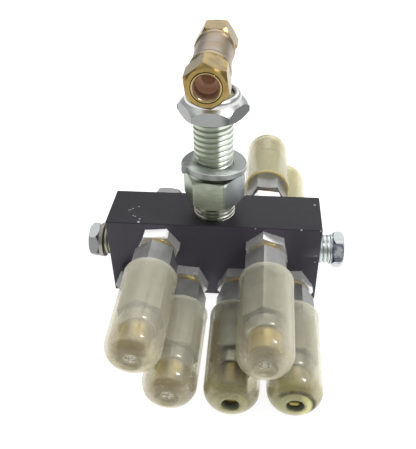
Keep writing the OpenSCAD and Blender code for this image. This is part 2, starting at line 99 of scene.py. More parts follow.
class Port(NamedTuple):
    """A port of the bar and how the pieces in it sit, with turns in degrees."""

    side: int  # -1 in front, 1 behind
    column: float  # pitches from the bar's middle
    row: int  # 0 low, 1 high
    turn: float  # of the hexagon in the port
    sleeve_turn: float = 0.0
    pierced: bool = False  # whether its cap is
    cap_out: float = 0.0  # how much further out its cap sits

    @property
    def centre(self):
        """Place of its axis along the bar, and height."""
        return self.column * PORT_PITCH, BAR_LOW.z + PORT_ROWS[self.row]

    @property
    def extra(self):
        """How much further out the pieces on the bar's back sit."""
        return sizes().rear_extra if self.side > 0 else 0.0

    def place(self, turn=0.0, out=0.0):
        """Its own frame, with Z out of the bar, turned and moved out."""
        x, z = self.centre
        return shift(x, self.side * BAR_FACE, z) @ spin(-90 * self.side, "X") @ shift(z=out) @ spin(turn)


class CapLook(NamedTuple):
    """How a cap's plastic has aged."""

    cover: float  # how far it hides what is inside
    tone: float  # its brightness
    oil: float  # from 0 to 1, at a pierced end
    dirt_and_shade: float  # from 0 to 1, towards the end; it also scales the painted shade of the nose's end face
    lean: float  # extra cover on the right
    side_shade: float  # painted shade on the right of the dome or, below 0, along the left side


UNITS = (
    Port(-1, -2, 1, 6.0, 35.0, False, 0.2),
    Port(-1, -1, 0, 55.0, 46.0, False, -0.35),
    Port(-1, 1, 0, 3.0, 10.0, True, 0.25),
    Port(-1, 2, 1, 41.0, 38.0, False, -0.2),
    Port(-1, 3, 0, 4.0, 6.0, True, -0.7),
    Port(1, 1.96, 1, 5.0, 1.0, False, -2.3),
    Port(1, 2.86, 0, 20.0, 10.0, False, -0.5),
)
CAP_LOOKS = (
    CapLook(0.26, 1.08, 0.0, 1.0, -0.02, 0.0),
    CapLook(0.24, 1.0, 0.0, 0.9, 0.0, 0.8),
    CapLook(0.04, 0.70, 0.7, 0.7, 0.0, -0.8),
    CapLook(0.11, 1.02, 0.0, 0.45, 0.26, 0.0),
    CapLook(0.14, 1.0, 1.0, 0.5, 0.20, 0.0),
    CapLook(0.34, 0.94, 0.0, 0.2, 0.0, 0.0),
    CapLook(0.34, 1.14, 0.0, 0.2, 0.0, 0.0),
)
SPARE_PORTS = {
    "port_plug_front": (Port(-1, -3, 0, 9.0),),
    "port_plug_rear_high": (Port(1, -2, 1, 3.0),),
    "port_plugs_rear_low": (Port(1, -3, 0, 10.0), Port(1, -1, 0, 25.0), Port(1, 1, 0, 40.0)),
}
# Marks in the bar's black finish: place along and across it, depth under its top, and radius
SCUFFS = ((-26.2, -2.2, 0.0, 4.5), (-24.5, -7.0, 0.0, 2.5), (33.0, -9.1, 11.2, 3.5))
RUBBED = (33.5, -9.1, 12.0, 6.0)
CHIPS = (
    (-23.6, -8.3, 0.0, 0.6), (-23.5, -6.7, 0.0, 0.4), (-25.2, -5.4, 0.0, 0.3),
    (-25.9, -5.1, 0.0, 0.3), (-27.3, -1.9, 0.0, 0.3), (-27.9, -2.1, 0.0, 0.3),
    (-26.7, -1.2, 0.0, 0.35), (-25.0, 0.0, 0.0, 0.35), (13.5, -9.1, 0.3, 0.3),
    (27.7, -9.1, 0.1, 0.4), (32.5, 4.6, 0.0, 0.5), (33.6, -9.0, 0.2, 0.3),
    (33.1, -9.1, 10.2, 0.3), (33.0, -9.1, 12.8, 0.3),
)


def length(label, note, millimetres):
    return bpy.props.FloatProperty(
        name=label, description=note, default=millimetres * MM, min=0.0001, max=0.2,
        precision=5, unit="LENGTH",
    )


def tint(label, note, colour):
    return bpy.props.FloatVectorProperty(
        name=label, description=note, default=colour, size=3, min=0.0, max=1.0, subtype="COLOR",
    )


def angle(label, note, degrees):
    return bpy.props.FloatProperty(
        name=label, description=note, default=math.radians(degrees), subtype="ANGLE", unit="ROTATION",
    )


class DividerSizes(bpy.types.PropertyGroup):
    unit_af: length("Unit across flats", "Width of the units' hexagons across their flats", 12.0)
    base_t: length("Base thickness", "Thickness of a unit's hexagon base", 3.9)
    neck_l: length("Neck length", "Bare brass between a unit's base and sleeve", 2.2)
    neck_d: length("Neck diameter", "Diameter of that brass neck", 10.2)
    rear_extra: length("Rear extra", "Extra thickness of the hexagons on the bar's back", 1.8)
    sleeve_l: length("Sleeve length", "Length of the sleeve's hexagon", 27.4)
    shoulder_l: length("Shoulder length", "Length of the sleeve's turned end", 4.0)
    barrel_d: length("Barrel diameter", "Diameter of the brass barrel", 8.8)
    nose_l: length("Nose length", "Length of barrel past the shoulder", 7.0)
    outlet_d: length("Outlet diameter", "Socket for the outlet pipe", 4.2)
    spring_d: length("Spring diameter", "Mean diameter of a piston's return spring", 4.0)
    spring_wire: length("Spring wire", "Diameter of that spring's wire", 0.5)
    cap_rim: length("Cap rim", "Distance from the bar's face to a cap's open rim", 15.9)
    cap_end: length("Cap end", "Distance from the bar's face to a cap's closed end", 48.2)
    cap_rim_d: length("Cap rim diameter", "Outer diameter of a cap at its rim", 16.4)
    cap_end_d: length("Cap end diameter", "Outer diameter where a cap's end begins to round", 15.6)
    cap_round: length("Cap rounding", "Radius of a cap's rounded end", 5.4)
    cap_wall: length("Cap wall", "Wall thickness of a cap", 0.85)
    cap_end_wall: length("Cap end wall", "Thickness of a cap's end about the gate mark", 1.7)
    gate_d: length("Gate mark", "Mean diameter of a cap's sunk gate mark", 5.2)
    gate_depth: length("Gate depth", "Depth of that mark", 1.2)
    stud_d: length("Stud diameter", "Major diameter of the panel thread", 12.0)
    stud_pitch: length("Stud pitch", "Pitch of the panel thread", 1.75)
    root_d: length("Root diameter", "Major diameter of the stud's lower thread", 13.3)
    root_pitch: length("Root pitch", "Pitch of the stud's lower thread", 1.34)
    stud_hex_af: length("Stud across flats", "Width of the stud's hexagon across its flats", 17.0)
    washer_w: length("Washer width", "Width of the split washer's section", 4.0)
    washer_t: length("Washer thickness", "Thickness of the split washer's section", 2.3)
    nut_af: length("Lock nut across flats", "Width of the lock nut across its flats", 18.0)
    tee_d: length("Tee diameter", "Diameter of the tee's run", 11.6)
    tee_nut_af: length("Tee nut across flats", "Width of a compression nut across its flats", 11.1)
    plug_af: length("End plug across flats", "Width of an end plug's head across its flats", 10.5)
    plug_head: length("End plug head", "Thickness of an end plug's hexagon", 3.5)
    plug_reach: length("End plug reach", "How far an end plug stands out of the bar", 8.4)
    seal_d: length("Seal diameter", "Outer diameter of the left plug's sealing ring", 11.7)
    seal_t: length("Seal thickness", "Thickness of that ring", 1.5)
    port_plug_head: length("Port plug head", "Thickness of a spare port's hexagon plug", 4.0)


class DividerColours(bpy.types.PropertyGroup):
    anodised: tint("Anodised black", "The bar", (0.062, 0.055, 0.072))
    alloy: tint("Grey alloy", "Unit bases and sleeves", (0.42, 0.42, 0.41))
    zinc: tint("Zinc plate", "Lock nut and end plugs", (0.43, 0.46, 0.45))
    yellow_zinc: tint("Yellow zinc", "Bulkhead stud", (0.52, 0.58, 0.46))
    spring_steel: tint("Spring steel", "Split washer", (0.36, 0.38, 0.365))
    turned_brass: tint("Turned brass", "Compression nuts", (0.31, 0.22, 0.075))
    cast_brass: tint("Cast brass", "Tee body", (0.31, 0.23, 0.13))
    barrel_brass: tint("Barrel brass", "Metering barrels", (0.53, 0.41, 0.16))
    cap: tint("Cap plastic", "Yellowed translucent caps", (0.77, 0.75, 0.64))
    rear_cap: tint("Rear cap plastic", "The yellower caps behind the bar", (0.80, 0.77, 0.52))
    oil: tint("Old oil", "Film of lubricant at the pierced caps", (0.27, 0.245, 0.06))
    floor: tint("Floor", "Plain pale floor", (0.50, 0.50, 0.50))


class DividerCamera(bpy.types.PropertyGroup):
    place: bpy.props.FloatVectorProperty(
        name="Camera place", description="Where the camera stands", size=3,
        default=(0.01360, -0.14959, 0.09211), subtype="TRANSLATION", unit="LENGTH", precision=5)
    azimuth: angle("Azimuth", "Turn of the view about the vertical", 6.06)
    elevation: angle("Elevation", "How far down the camera looks", 37.10)
    roll: angle("Roll", "Tilt of the picture", -1.38)
    lens: bpy.props.FloatProperty(
        name="Lens", description="Focal length in millimetres on a 36 mm long side",
        default=45.45, min=10.0, max=200.0)


def sizes():
    """The user's sizes, in millimetres."""
    group = bpy.context.scene.divider_sizes
    return SimpleNamespace(**{name: getattr(group, name) / MM for name in DividerSizes.__annotations__})


def colours():
    group = bpy.context.scene.divider_colours
    return SimpleNamespace(**{name: tuple(getattr(group, name)) for name in DividerColours.__annotations__})


def shade(colour, factor):
    return tuple(min(1.0, channel * factor) for channel in colour)


class Wire:
    """A shader socket that Python's arithmetic works on."""

    def __init__(self, finish, socket):
        self.finish = finish
        self.socket = socket

    def math(self, operation, first, second):
        return self.finish.node("ShaderNodeMath", {"operation": operation}, {0: first, 1: second})

    def __add__(self, other):
        return self.math("ADD", self, other)

    def __radd__(self, other):
        return self.math("ADD", other, self)

    def __sub__(self, other):
        return self.math("SUBTRACT", self, other)

    def __rsub__(self, other):
        return self.math("SUBTRACT", other, self)

    def __mul__(self, other):
        return self.math("MULTIPLY", self, other)

    def __rmul__(self, other):
        return self.math("MULTIPLY", other, self)

    def __truediv__(self, other):
        return self.math("DIVIDE", self, other)

    def __pow__(self, other):
        return self.math("POWER", self, other)

    def __abs__(self):
        return self.math("ABSOLUTE", self, 0.0)

    def least(self, other):
        return self.math("MINIMUM", self, other)

    def most(self, other):
        return self.math("MAXIMUM", self, other)

    def ramp(self, low, high):
        """0 below low, 1 above high, smooth between. Turned round where low is above high."""
        if low > high:
            return 1.0 - self.ramp(high, low)
        return self.finish.node(
            "ShaderNodeMapRange", {"interpolation_type": "SMOOTHSTEP"},
            {"Value": self, "From Min": low, "From Max": high})

    def band(self, low, rise, fall, high):
        """1 from rise to fall, and 0 below low and above high."""
        return self.ramp(low, rise) * self.ramp(high, fall)


class Finish:
    """A material in the making: its Principled shader, its patterns and the tone painted so far."""

    def __init__(self, name, **uniform):
        self.material = bpy.data.materials.new(name)
        self.material.use_nodes = True
        self.tree = self.material.node_tree
        self.shader = self.tree.nodes["Principled BSDF"]
        self.tone = BLACK
        for label, value in uniform.items():
            self.shader.inputs[label.replace("_", " ")].default_value = value
        self.place = self.node("ShaderNodeTexCoord", out="Object")

    def node(self, kind, settings=None, inputs=None, out=0):
        made = self.tree.nodes.new(kind)
        for label, value in (settings or {}).items():
            setattr(made, label, value)
        for label, value in (inputs or {}).items():
            self.feed(made.inputs[label], value)
        return Wire(self, made.outputs[out])

    def feed(self, socket, value):
        if isinstance(value, Wire):
            self.tree.links.new(value.socket, socket)
        elif socket.type == "RGBA" and len(value) == 3:
            socket.default_value = (*value, 1.0)
        else:
            socket.default_value = value

    def set(self, **varying):
        for label, value in varying.items():
            self.feed(self.shader.inputs[label.replace("_", " ")], value)

    def axis(self, letter):
        """Place along an axis of the object, in millimetres."""
        return self.node("ShaderNodeSeparateXYZ", None, {0: self.place}, out=letter) / MM

    def polar(self, letters, centre=(0.0, 0.0)):
        """Places along two axes, counted from a centre, and the distance from it."""
        first, second = (self.axis(letter) - middle for letter, middle in zip(letters, centre))
        return first, second, (first * first + second * second) ** 0.5

    def slope(self):
        """1 where the surface faces up and 0 where it is upright."""
        normal = self.node("ShaderNodeTexCoord", out="Normal")
        return self.node("ShaderNodeSeparateXYZ", None, {0: normal}, out="Z")

    def noise(self, scale, detail=3.0, roughness=0.5, stretch=None, offset=(0, 0, 0), warp=0.0):
        place = self.place
        if stretch or any(offset):
            place = self.node("ShaderNodeMapping", None,
                              {"Vector": place, "Scale": stretch or (1, 1, 1), "Location": offset})
        return self.node("ShaderNodeTexNoise", None,
                         {"Vector": place, "Scale": scale, "Detail": detail,
                          "Roughness": roughness, "Distortion": warp})

    def cloud(self, scale, roughness=0.6):
        return self.noise(scale, 4, roughness)

    def fine(self, stretch=None):
        return self.noise(2600, 2, 0.6, stretch)

    def metal(self, colour, low, high, scale=260, stretch=None):
        """Starts a cloudy tone between two shades of a colour, and gives its patch and mark patterns."""
        cloud = self.cloud(scale)
        self.tone = self.shades(cloud.ramp(0.3, 0.7), colour, low, high)
        return cloud, self.fine(stretch)

    def near(self, mark, soft):
        """1 at a mark of the bar, fading out over the soft share of its radius."""
        x, y, drop, radius = mark
        gap = self.node("ShaderNodeVectorMath", {"operation": "DISTANCE"},
                        {0: self.place, 1: Vector((x, y, BAR_TOP - drop)) * MM}, out="Value") / MM
        return gap.ramp(radius, radius * (1 - soft))

    def blend(self, amount, first, second):
        return self.node("ShaderNodeMix", {"data_type": "RGBA"},
                         {0: amount, 6: first, 7: second}, out=2)

    def shades(self, amount, colour, low, high):
        return self.blend(amount, shade(colour, low), shade(colour, high))

    def paint(self, amount, colour):
        """Lays a colour over the tone."""
        self.tone = self.blend(amount, self.tone, colour)

    def glow(self, amount, colour):
        self.set(Emission_Color=self.blend(amount, BLACK, colour))

    def done(self, rough, relief, depth, strength=0.6, **varying):
        """Wires up the tone, the roughness and a relief of a depth, and gives the material."""
        bump = self.node("ShaderNodeBump", None,
                         {"Height": relief, "Distance": depth * MM, "Strength": strength})
        self.set(Base_Color=self.tone, Roughness=rough, Normal=bump, **varying)
        return self.material


def anodised_finish():
    """Black anodised alloy, painted darker on its top and ends as shade, with scuffs, chips and a rubbed
    patch.
    """
    black = colours().anodised
    finish = Finish("black anodised", Metallic=0.0, Specular_IOR_Level=0.30)
    grain = finish.noise(900, 3, 0.6)
    streaks = finish.noise(260, 3, 0.6, stretch=(0.12, 1, 1))
    specks = finish.noise(1500, 1).ramp(0.70, 0.74)
    finish.tone = finish.shades(finish.noise(60, 4), black, 0.78, 1.25)
    # Painted shade: the ends and the top are darkened to even out how the light falls on the bar.
    finish.paint(abs(finish.axis("X")).ramp(18, 30) * 0.5, shade(black, 0.40))
    finish.paint(finish.axis("Z").ramp(BAR_TOP - 0.3, BAR_TOP - 0.1), shade(black, 0.25))
    finish.paint(finish.near(RUBBED, 0.8) * streaks.ramp(0.40, 0.60) * 0.30, (0.22, 0.23, 0.28))
    for mark in SCUFFS:
        finish.paint(finish.near(mark, 0.9) * specks * 0.6, (0.34, 0.34, 0.36))
    for mark in CHIPS:
        finish.paint(finish.near(mark, 0.6) * 0.85, (0.50, 0.48, 0.50))
    finish.paint(streaks.ramp(0.70, 0.78) * 0.06, (0.24, 0.22, 0.25))
    return finish.done(0.44 + grain * 0.16, grain * 0.6 + streaks * 0.4, 0.08, 0.5)


def metal_finish(name, colour, rough, change=0.08, metallic=1.0):
    """Plain metal with cloudy colour, fine tool marks and uneven gloss."""
    finish = Finish(name, Metallic=metallic)
    cloud, fine = finish.metal(colour, 1 - change, 1 + change)
    return finish.done(rough + (fine - 0.5) * 0.12 + (cloud - 0.5) * 0.08, fine, 0.01)


def moulded_finish(name, low, high, rough, scale, specular, depth):
    """Rubber or nylon with a fine grain."""
    finish = Finish(name, Specular_IOR_Level=specular)
    grain = finish.noise(scale, 3)
    finish.tone = finish.blend(grain, low, high)
    return finish.done(rough + grain * 0.2, grain, depth)


def base_finish(name, port=None):
    """Pale alloy; the upper flat of the one base that catches the light gets a painted white highlight that
    glows.
    """
    finish = Finish(name, Metallic=0.65, Emission_Strength=1.0 if port else 0.0)
    cloud, fine = finish.metal(shade(colours().alloy, 1.85), 0.92, 1.08)
    if port:
        height = finish.axis("Z") - port.centre[1]
        # Painted highlight: the upper flat is painted white and made to glow, standing in for the light on
        # it.
        painted_glare = height.ramp(5.3, 5.6) * abs(finish.axis("Y")).ramp(BAR_FACE, BAR_FACE + 0.3)
        finish.paint(painted_glare, WHITE)
        finish.glow(painted_glare, (0.16, 0.16, 0.16))
        finish.set(Metallic=0.65 - painted_glare * 0.6)
    return finish.done(0.24 + (fine - 0.5) * 0.12 + (cloud - 0.5) * 0.14, fine, 0.01)


def sleeve_finish():
    """Dull alloy with lengthwise lines, shinier on the turned shoulder, with painted shade where that
    begins and on some sleeves.
    """
    size, alloy = sizes(), colours().alloy
    finish = Finish("sleeve alloy", Metallic=0.9)
    cloud, lines = finish.metal(alloy, 0.88, 1.12, stretch=(1, 0.1, 1))
    depth = finish.axis("Y")
    reach = abs(depth) - BAR_FACE - depth.ramp(-1.0, 1.0) * size.rear_extra
    end = size.base_t + size.neck_l + size.sleeve_l
    shoulder = reach.ramp(end - 0.1, end + 0.3)
    right, rear = finish.axis("X").ramp(16.0, 17.6), depth.ramp(0.0, 1.0)
    # Painted shade in the crease where the hexagon meets the shoulder.
    finish.paint(reach.band(end - 1.6, end - 0.3, end + 0.3, end + 1.4) * 0.9, shade(alloy, 0.12))
    # Painted shade: the sleeves on the right and behind the bar are darkened.
    finish.paint((right * 0.27).most(rear * 0.30), BLACK)
    rub = (lines - 0.5) * (1.0 - shoulder)
    return finish.done(0.46 - shoulder * 0.20 + rub * 0.12 + (cloud - 0.5) * 0.08, rub, 0.01)


def barrel_finish(name, port=None):
    """Turned brass, painted shade on its end face; under a pierced cap also oil and a glowing painted
    glint.
    """
    size = sizes()
    finish = Finish(name, Metallic=1.0, Emission_Strength=1.0 if port else 0.0)
    fine = finish.metal(colours().barrel_brass, 0.85, 1.12)[1]
    tip = BAR_FACE + size.base_t + size.neck_l + size.sleeve_l + size.shoulder_l + size.nose_l
    face = abs(finish.axis("Y")).ramp(tip - 0.9, tip - 0.4)
    if port:
        across, height, radius = finish.polar("XZ", port.centre)
        edge = radius.band(2.6, 3.0, 3.6, 4.0) * height.ramp(-2.2, -3.0) * abs(across).ramp(1.7, 0.8)
        right = finish.axis("X").ramp(12, 22)
        # Painted shade: the whole barrel is darker and browner.
        finish.paint(0.5, (0.20, 0.15, 0.08))
        # The end face is dark with oil and painted shade.
        finish.paint(face * (1.0 - edge) * 0.96, (0.17, 0.16, 0.075))
        # Painted glint on the socket's edge, made to glow, more on the right.
        finish.paint(face * edge, (1.0, 0.86, 0.40))
        finish.glow(face * edge * (right * 0.8 + 0.2), (0.34, 0.29, 0.08))
        finish.set(Metallic=1.0 - face * edge * 0.6)
    else:
        # Painted shade: the end face is darkened.
        finish.paint(face * 0.85, (0.11, 0.08, 0.045))
    return finish.done(0.34 + (fine - 0.5) * 0.12, fine, 0.01)


def tee_nut_finish():
    """Turned brass with a dark line painted where a compression nut meets its sleeve."""
    brass = colours().turned_brass
    finish = Finish("turned brass", Metallic=1.0)
    cloud, fine = finish.metal(brass, 0.68, 1.04, 300)
    radius = finish.polar("XZ", (0.0, TEE_HEIGHT))[2]
    finish.paint(radius.ramp(5.4, 6.0) * cloud.ramp(0.35, 0.6) * 0.35, shade(brass, 1.5))
    # A dark line on the nut's inner edge, round the sleeve.
    finish.paint(radius.ramp(4.28, 4.14) * 0.75, (0.10, 0.065, 0.03))
    return finish.done(0.25 + (fine - 0.5) * 0.12 + (cloud - 0.5) * 0.16,
                       cloud * 0.7 + fine * 0.3, 0.03, 0.5)


def tee_body_finish():
    """Cast brass, pinkish grey with gold showing beside the nuts, and its bore painted light and glowing.
    """
    finish = Finish("cast brass", Emission_Strength=1.0)
    cloud, grain = finish.cloud(170), finish.noise(900, 3, 0.6)
    across, _, radius = finish.polar("XZ", (0.0, TEE_HEIGHT))
    inside = radius.ramp(3.6, 3.3)
    rubbed = abs(finish.axis("Y")).ramp(5.6, 8.5) * grain.ramp(0.2, 0.5)
    finish.tone = finish.blend(cloud.ramp(0.35, 0.65), colours().cast_brass, (0.35, 0.30, 0.26))
    finish.paint(rubbed * 0.6, (0.42, 0.32, 0.14))
    # Painted light: the bore is painted lighter than the body.
    finish.paint(inside, finish.blend(cloud, (0.62, 0.42, 0.30), (0.76, 0.54, 0.40)))
    finish.paint(across.ramp(-0.8, -4.0) * (1.0 - inside) * 0.5, (0.20, 0.15, 0.09))
    # Painted light: the bore glows faintly, though it is no lamp.
    finish.glow(inside, (0.030, 0.020, 0.013))
    return finish.done(0.40 + (grain - 0.5) * 0.14 - rubbed * 0.12 + inside * 0.15, grain, 0.05,
                       Metallic=1.0 - inside * 0.7)


def tee_sleeve_finish():
    """Gold on the sleeve's rim and brown in its mouth."""
    finish = Finish("sleeve bronze")
    cloud = finish.cloud(400)
    rim = finish.polar("XZ", (0.0, TEE_HEIGHT))[2].ramp(3.3, 3.5)
    finish.tone = finish.blend(cloud, (0.25, 0.15, 0.105), (0.36, 0.22, 0.15))
    finish.paint(rim, finish.blend(cloud, (0.33, 0.25, 0.12), (0.45, 0.35, 0.17)))
    return finish.done(0.42 - rim * 0.22 + (cloud - 0.5) * 0.1, cloud, 0.03, 0.5,
                       Metallic=0.3 + rim * 0.7)


def stud_finish():
    """Yellow zinc with painted shade and highlights on the thread, and scratched flats with a painted
    reflection and shade.
    """
    zinc = colours().yellow_zinc
    finish = Finish("yellow zinc", Metallic=1.0)
    cloud, lines = finish.cloud(300), finish.noise(1400, 3, 0.65, stretch=(0.25, 0.25, 2.0))
    across, _, radius = finish.polar("XY")
    height = finish.axis("Z")
    crest = radius.ramp(5.5, 5.9)
    flats = radius.ramp(7.0, 7.4) * height.ramp(-10.2, -9.9)
    # Painted reflection: the right flat turns blue-grey.
    cool_reflection = across.ramp(3.0, 6.0) * flats
    # Painted shade by the hexagon's front right corner.
    corner = across.band(3.1, 3.7, 4.2, 8.5) * flats
    # Painted highlights on the lower thread's crests.
    glint = (height.ramp(-10.0, -10.4) * crest * abs(across + 0.4).ramp(1.2, 3.0)
             * cloud.ramp(0.35, 0.50))
    flat = finish.shades(lines.ramp(0.35, 0.65), zinc, 0.62, 0.80)
    flat = finish.blend(cool_reflection * 0.8, flat, finish.blend(lines, (0.42, 0.45, 0.46), (0.66, 0.70, 0.71)))
    flat = finish.blend(corner * 0.6, flat, (0.14, 0.16, 0.16))
    finish.tone = finish.shades(cloud.ramp(0.3, 0.7), zinc, 0.80, 0.98)
    # Painted shade left of the thread's middle.
    finish.paint(across.ramp(-4.5, -1.0), finish.shades(crest, zinc, 0.95, 0.48))
    # Painted highlight right of the thread's middle.
    finish.paint(across.ramp(1.4, 2.6), finish.blend(crest, shade(zinc, 0.90), (0.66, 0.71, 0.63)))
    finish.paint(glint, (0.98, 0.97, 0.86))
    finish.paint(flats, flat)
    return finish.done(0.38 + cool_reflection * 0.14 + (cloud - 0.5) * 0.10 + (lines - 0.5) * 0.10,
                       lines * flats, 0.06, 0.8)


def washer_finish():
    """Grey spring steel with painted light and shade on its upper face, a painted highlight round its edge,
    darker on the left.
    """
    steel = colours().spring_steel
    finish = Finish("spring steel")
    cloud, fine = finish.metal(steel, 0.66, 0.78, 300)
    slope = finish.slope()
    upper, brim = slope.ramp(0.90, 0.99), slope.band(0.25, 0.45, 0.80, 0.95)
    # Painted highlight on the rounded edge.
    finish.paint(brim, shade(steel, 2.1))
    # Painted light and shade on the upper face: lighter at the front, darker behind.
    finish.paint(upper, finish.shades(finish.axis("Y").ramp(-5.0, -6.8), steel, 0.84, 1.65))
    # Darker on the left, by the split.
    finish.paint(finish.axis("X").ramp(-5.8, -7.6) * 0.55, (0.03, 0.03, 0.03))
    return finish.done(0.34 + upper * 0.16 + (fine - 0.5) * 0.12 + (cloud - 0.5) * 0.1, fine, 0.02,
                       Metallic=1.0 - brim * 0.7)


def lock_nut_finish():
    """Zinc plate with a faint violet cast and long smears; its upright flats are painted dark as shade,
    more on the right.
    """
    zinc = colours().zinc
    finish = Finish("zinc plate", Metallic=1.0)
    cloud = finish.noise(170, 4, 0.65, warp=0.6)
    smear = finish.noise(420, 3, 0.6, stretch=(1, 1, 0.35))
    across, _, radius = finish.polar("XY")
    flats = finish.slope().ramp(0.30, 0.10) * radius.ramp(8.2, 8.6)
    finish.tone = finish.blend(cloud.ramp(0.35, 0.65), shade(zinc, 0.86), (0.43, 0.44, 0.48))
    finish.paint(smear.ramp(0.45, 0.7) * 0.5, shade(zinc, 1.3))
    finish.paint(0.36, (1.0, 0.98, 0.93))
    # Painted shade on the upright flats, stronger on the right.
    finish.paint(flats * (0.58 + across.ramp(2.5, 5.0) * 0.29), (0.02, 0.03, 0.025))
    return finish.done(0.30 + (smear - 0.5) * 0.3 + (cloud - 0.5) * 0.12,
                       smear * 0.5 + cloud * 0.5, 0.05, 0.5)


def end_plug_finish():
    """Zinc plate, brighter on the thread than on the mottled head, with painted light and shade on the
    heads' flats, dark under the left one.
    """
    zinc = colours().zinc
    finish = Finish("plug zinc", Metallic=1.0)
    cloud, fine = finish.cloud(520, 0.65), finish.fine()
    across, height = finish.axis("X"), finish.axis("Z") - BAR_MID
    head = abs(across).ramp(BAR_END + 4.1, BAR_END + 4.9)
    left = across.ramp(0.0, -1.0)
    below = (height + left * 0.8).ramp(5.3, 4.8)
    # Upper flats, with painted light on the left head's.
    upper = finish.blend(left, finish.shades(cloud, zinc, 0.83, 1.08), shade(zinc, 1.3))
    mottled = finish.blend(cloud.ramp(0.46, 0.60), (0.25, 0.27, 0.33), (0.63, 0.67, 0.68))
    # Painted light on the right head's bottom flat.
    mottled = finish.blend(height.ramp(-2.0, -2.6), mottled, shade(zinc, 1.15))
    # Lower flats, with painted shade on the left head's.
    lower = finish.blend(left, mottled, finish.shades(cloud, zinc, 0.54, 0.76))
    finish.tone = finish.shades(cloud, zinc, 1.25, 1.6)
    finish.paint(left, finish.blend(cloud, (0.26, 0.28, 0.20), (0.42, 0.44, 0.34)))
    finish.paint(head, finish.blend(below, upper, lower))
    return finish.done(0.30 + below * left * 0.12 + (fine - 0.5) * 0.12 + (cloud - 0.5) * 0.16,
                       cloud * 0.6 + fine * 0.4, 0.05)


def oily_end(finish, on, oil):
    """Paints oil round a pierced cap's hole and a painted gleam on it, and gives how far it hides the
    inside and dulls.
    """
    dome = on.reach.ramp(28.5, 30.0)
    film = on.reach.ramp(22.5, 30.5) * (0.1 + on.mottle * 1.4) * oil
    film = film * (1.0 - on.upper * on.across.ramp(-1.0, 2.0) * 0.35)
    halo = on.radius.ramp(6.0, 3.4) * dome
    gleam = on.radius.band(2.8, 3.4, 4.4, 4.8) * dome * on.across.ramp(0.5, 2.5) * oil
    streak = on.radius.band(4.0, 4.9, 5.1, 6.1) * dome * (on.across * 0.5 + on.height).ramp(-2.0, 2.0)
    streak = streak * (0.4 + on.mottle) * oil ** 2
    pool = on.height.ramp(-1.5, -3.5) * on.reach.band(23.5, 25.0, 29.4, 30.2)
    ring = on.radius.ramp(2.7, 2.2) * on.tip
    finish.paint(film.least(0.9), colours().oil)
    finish.paint(halo * 0.5, (0.42, 0.43, 0.17))
    # Painted highlight: a yellow gleam right of the hole.
    finish.paint(gleam * oil ** 3 * 0.8, (0.70, 0.66, 0.22))
    finish.paint(streak.least(0.9), (0.045, 0.042, 0.008))
    finish.paint(ring.most(pool), (0.075, 0.082, 0.055))
    hidden = (film * 0.42 + on.facing * on.end * 0.3 + gleam * 0.1 + streak * 0.5 + ring * 0.6
              + pool * 0.5)
    return hidden, ring.most(streak).most(film * 0.25)


def closed_end(finish, on, port):
    """Paints a closed cap's gate mark, painted shade round it and painted light and shade of its nose;
    gives how far they hide and dull.
    """
    nose = on.reach.ramp(24.0, 26.2) * on.upper
    # Painted highlight where the nose shows through, right of its middle.
    lit = on.across.band(0.2, 2.2, 2.6, 4.8) * nose * on.reach.ramp(29.4, 27.2)
    # Painted shade where the nose shows through, left of its middle.
    dim = on.across.band(-5.6, -3.0, -1.0, 1.4) * nose * on.reach.ramp(31.2, 28.5)
    gate = on.radius.ramp(1.8, 1.4) * on.tip
    swirl = finish.noise(1500, 2, 0.6, offset=(0.013 * port.column, 0.0, 0.007 * port.row), warp=0.8)
    hole, ridge = swirl.ramp(0.46, 0.40) * gate, swirl.ramp(0.50, 0.58) * gate
    # Painted shade round the gate mark, strongest at its top.
    lip = on.radius.band(1.2, 2.4, 3.0, 4.6) * on.tip * (0.45 + 0.55 * on.height.ramp(-1.0, 1.0))
    finish.paint(lit * 0.8, (0.88, 0.74, 0.40))
    finish.paint(dim * 0.8, (0.38, 0.31, 0.14))
    finish.paint(ridge * 0.8, (0.86, 0.85, 0.76))
    finish.paint(hole.most(lip * 0.8), (0.17, 0.15, 0.09))
    return lit * 0.07 + dim * 0.11 + ridge * 0.22 + hole * 0.25 + lip * 0.36, lip * 0.8


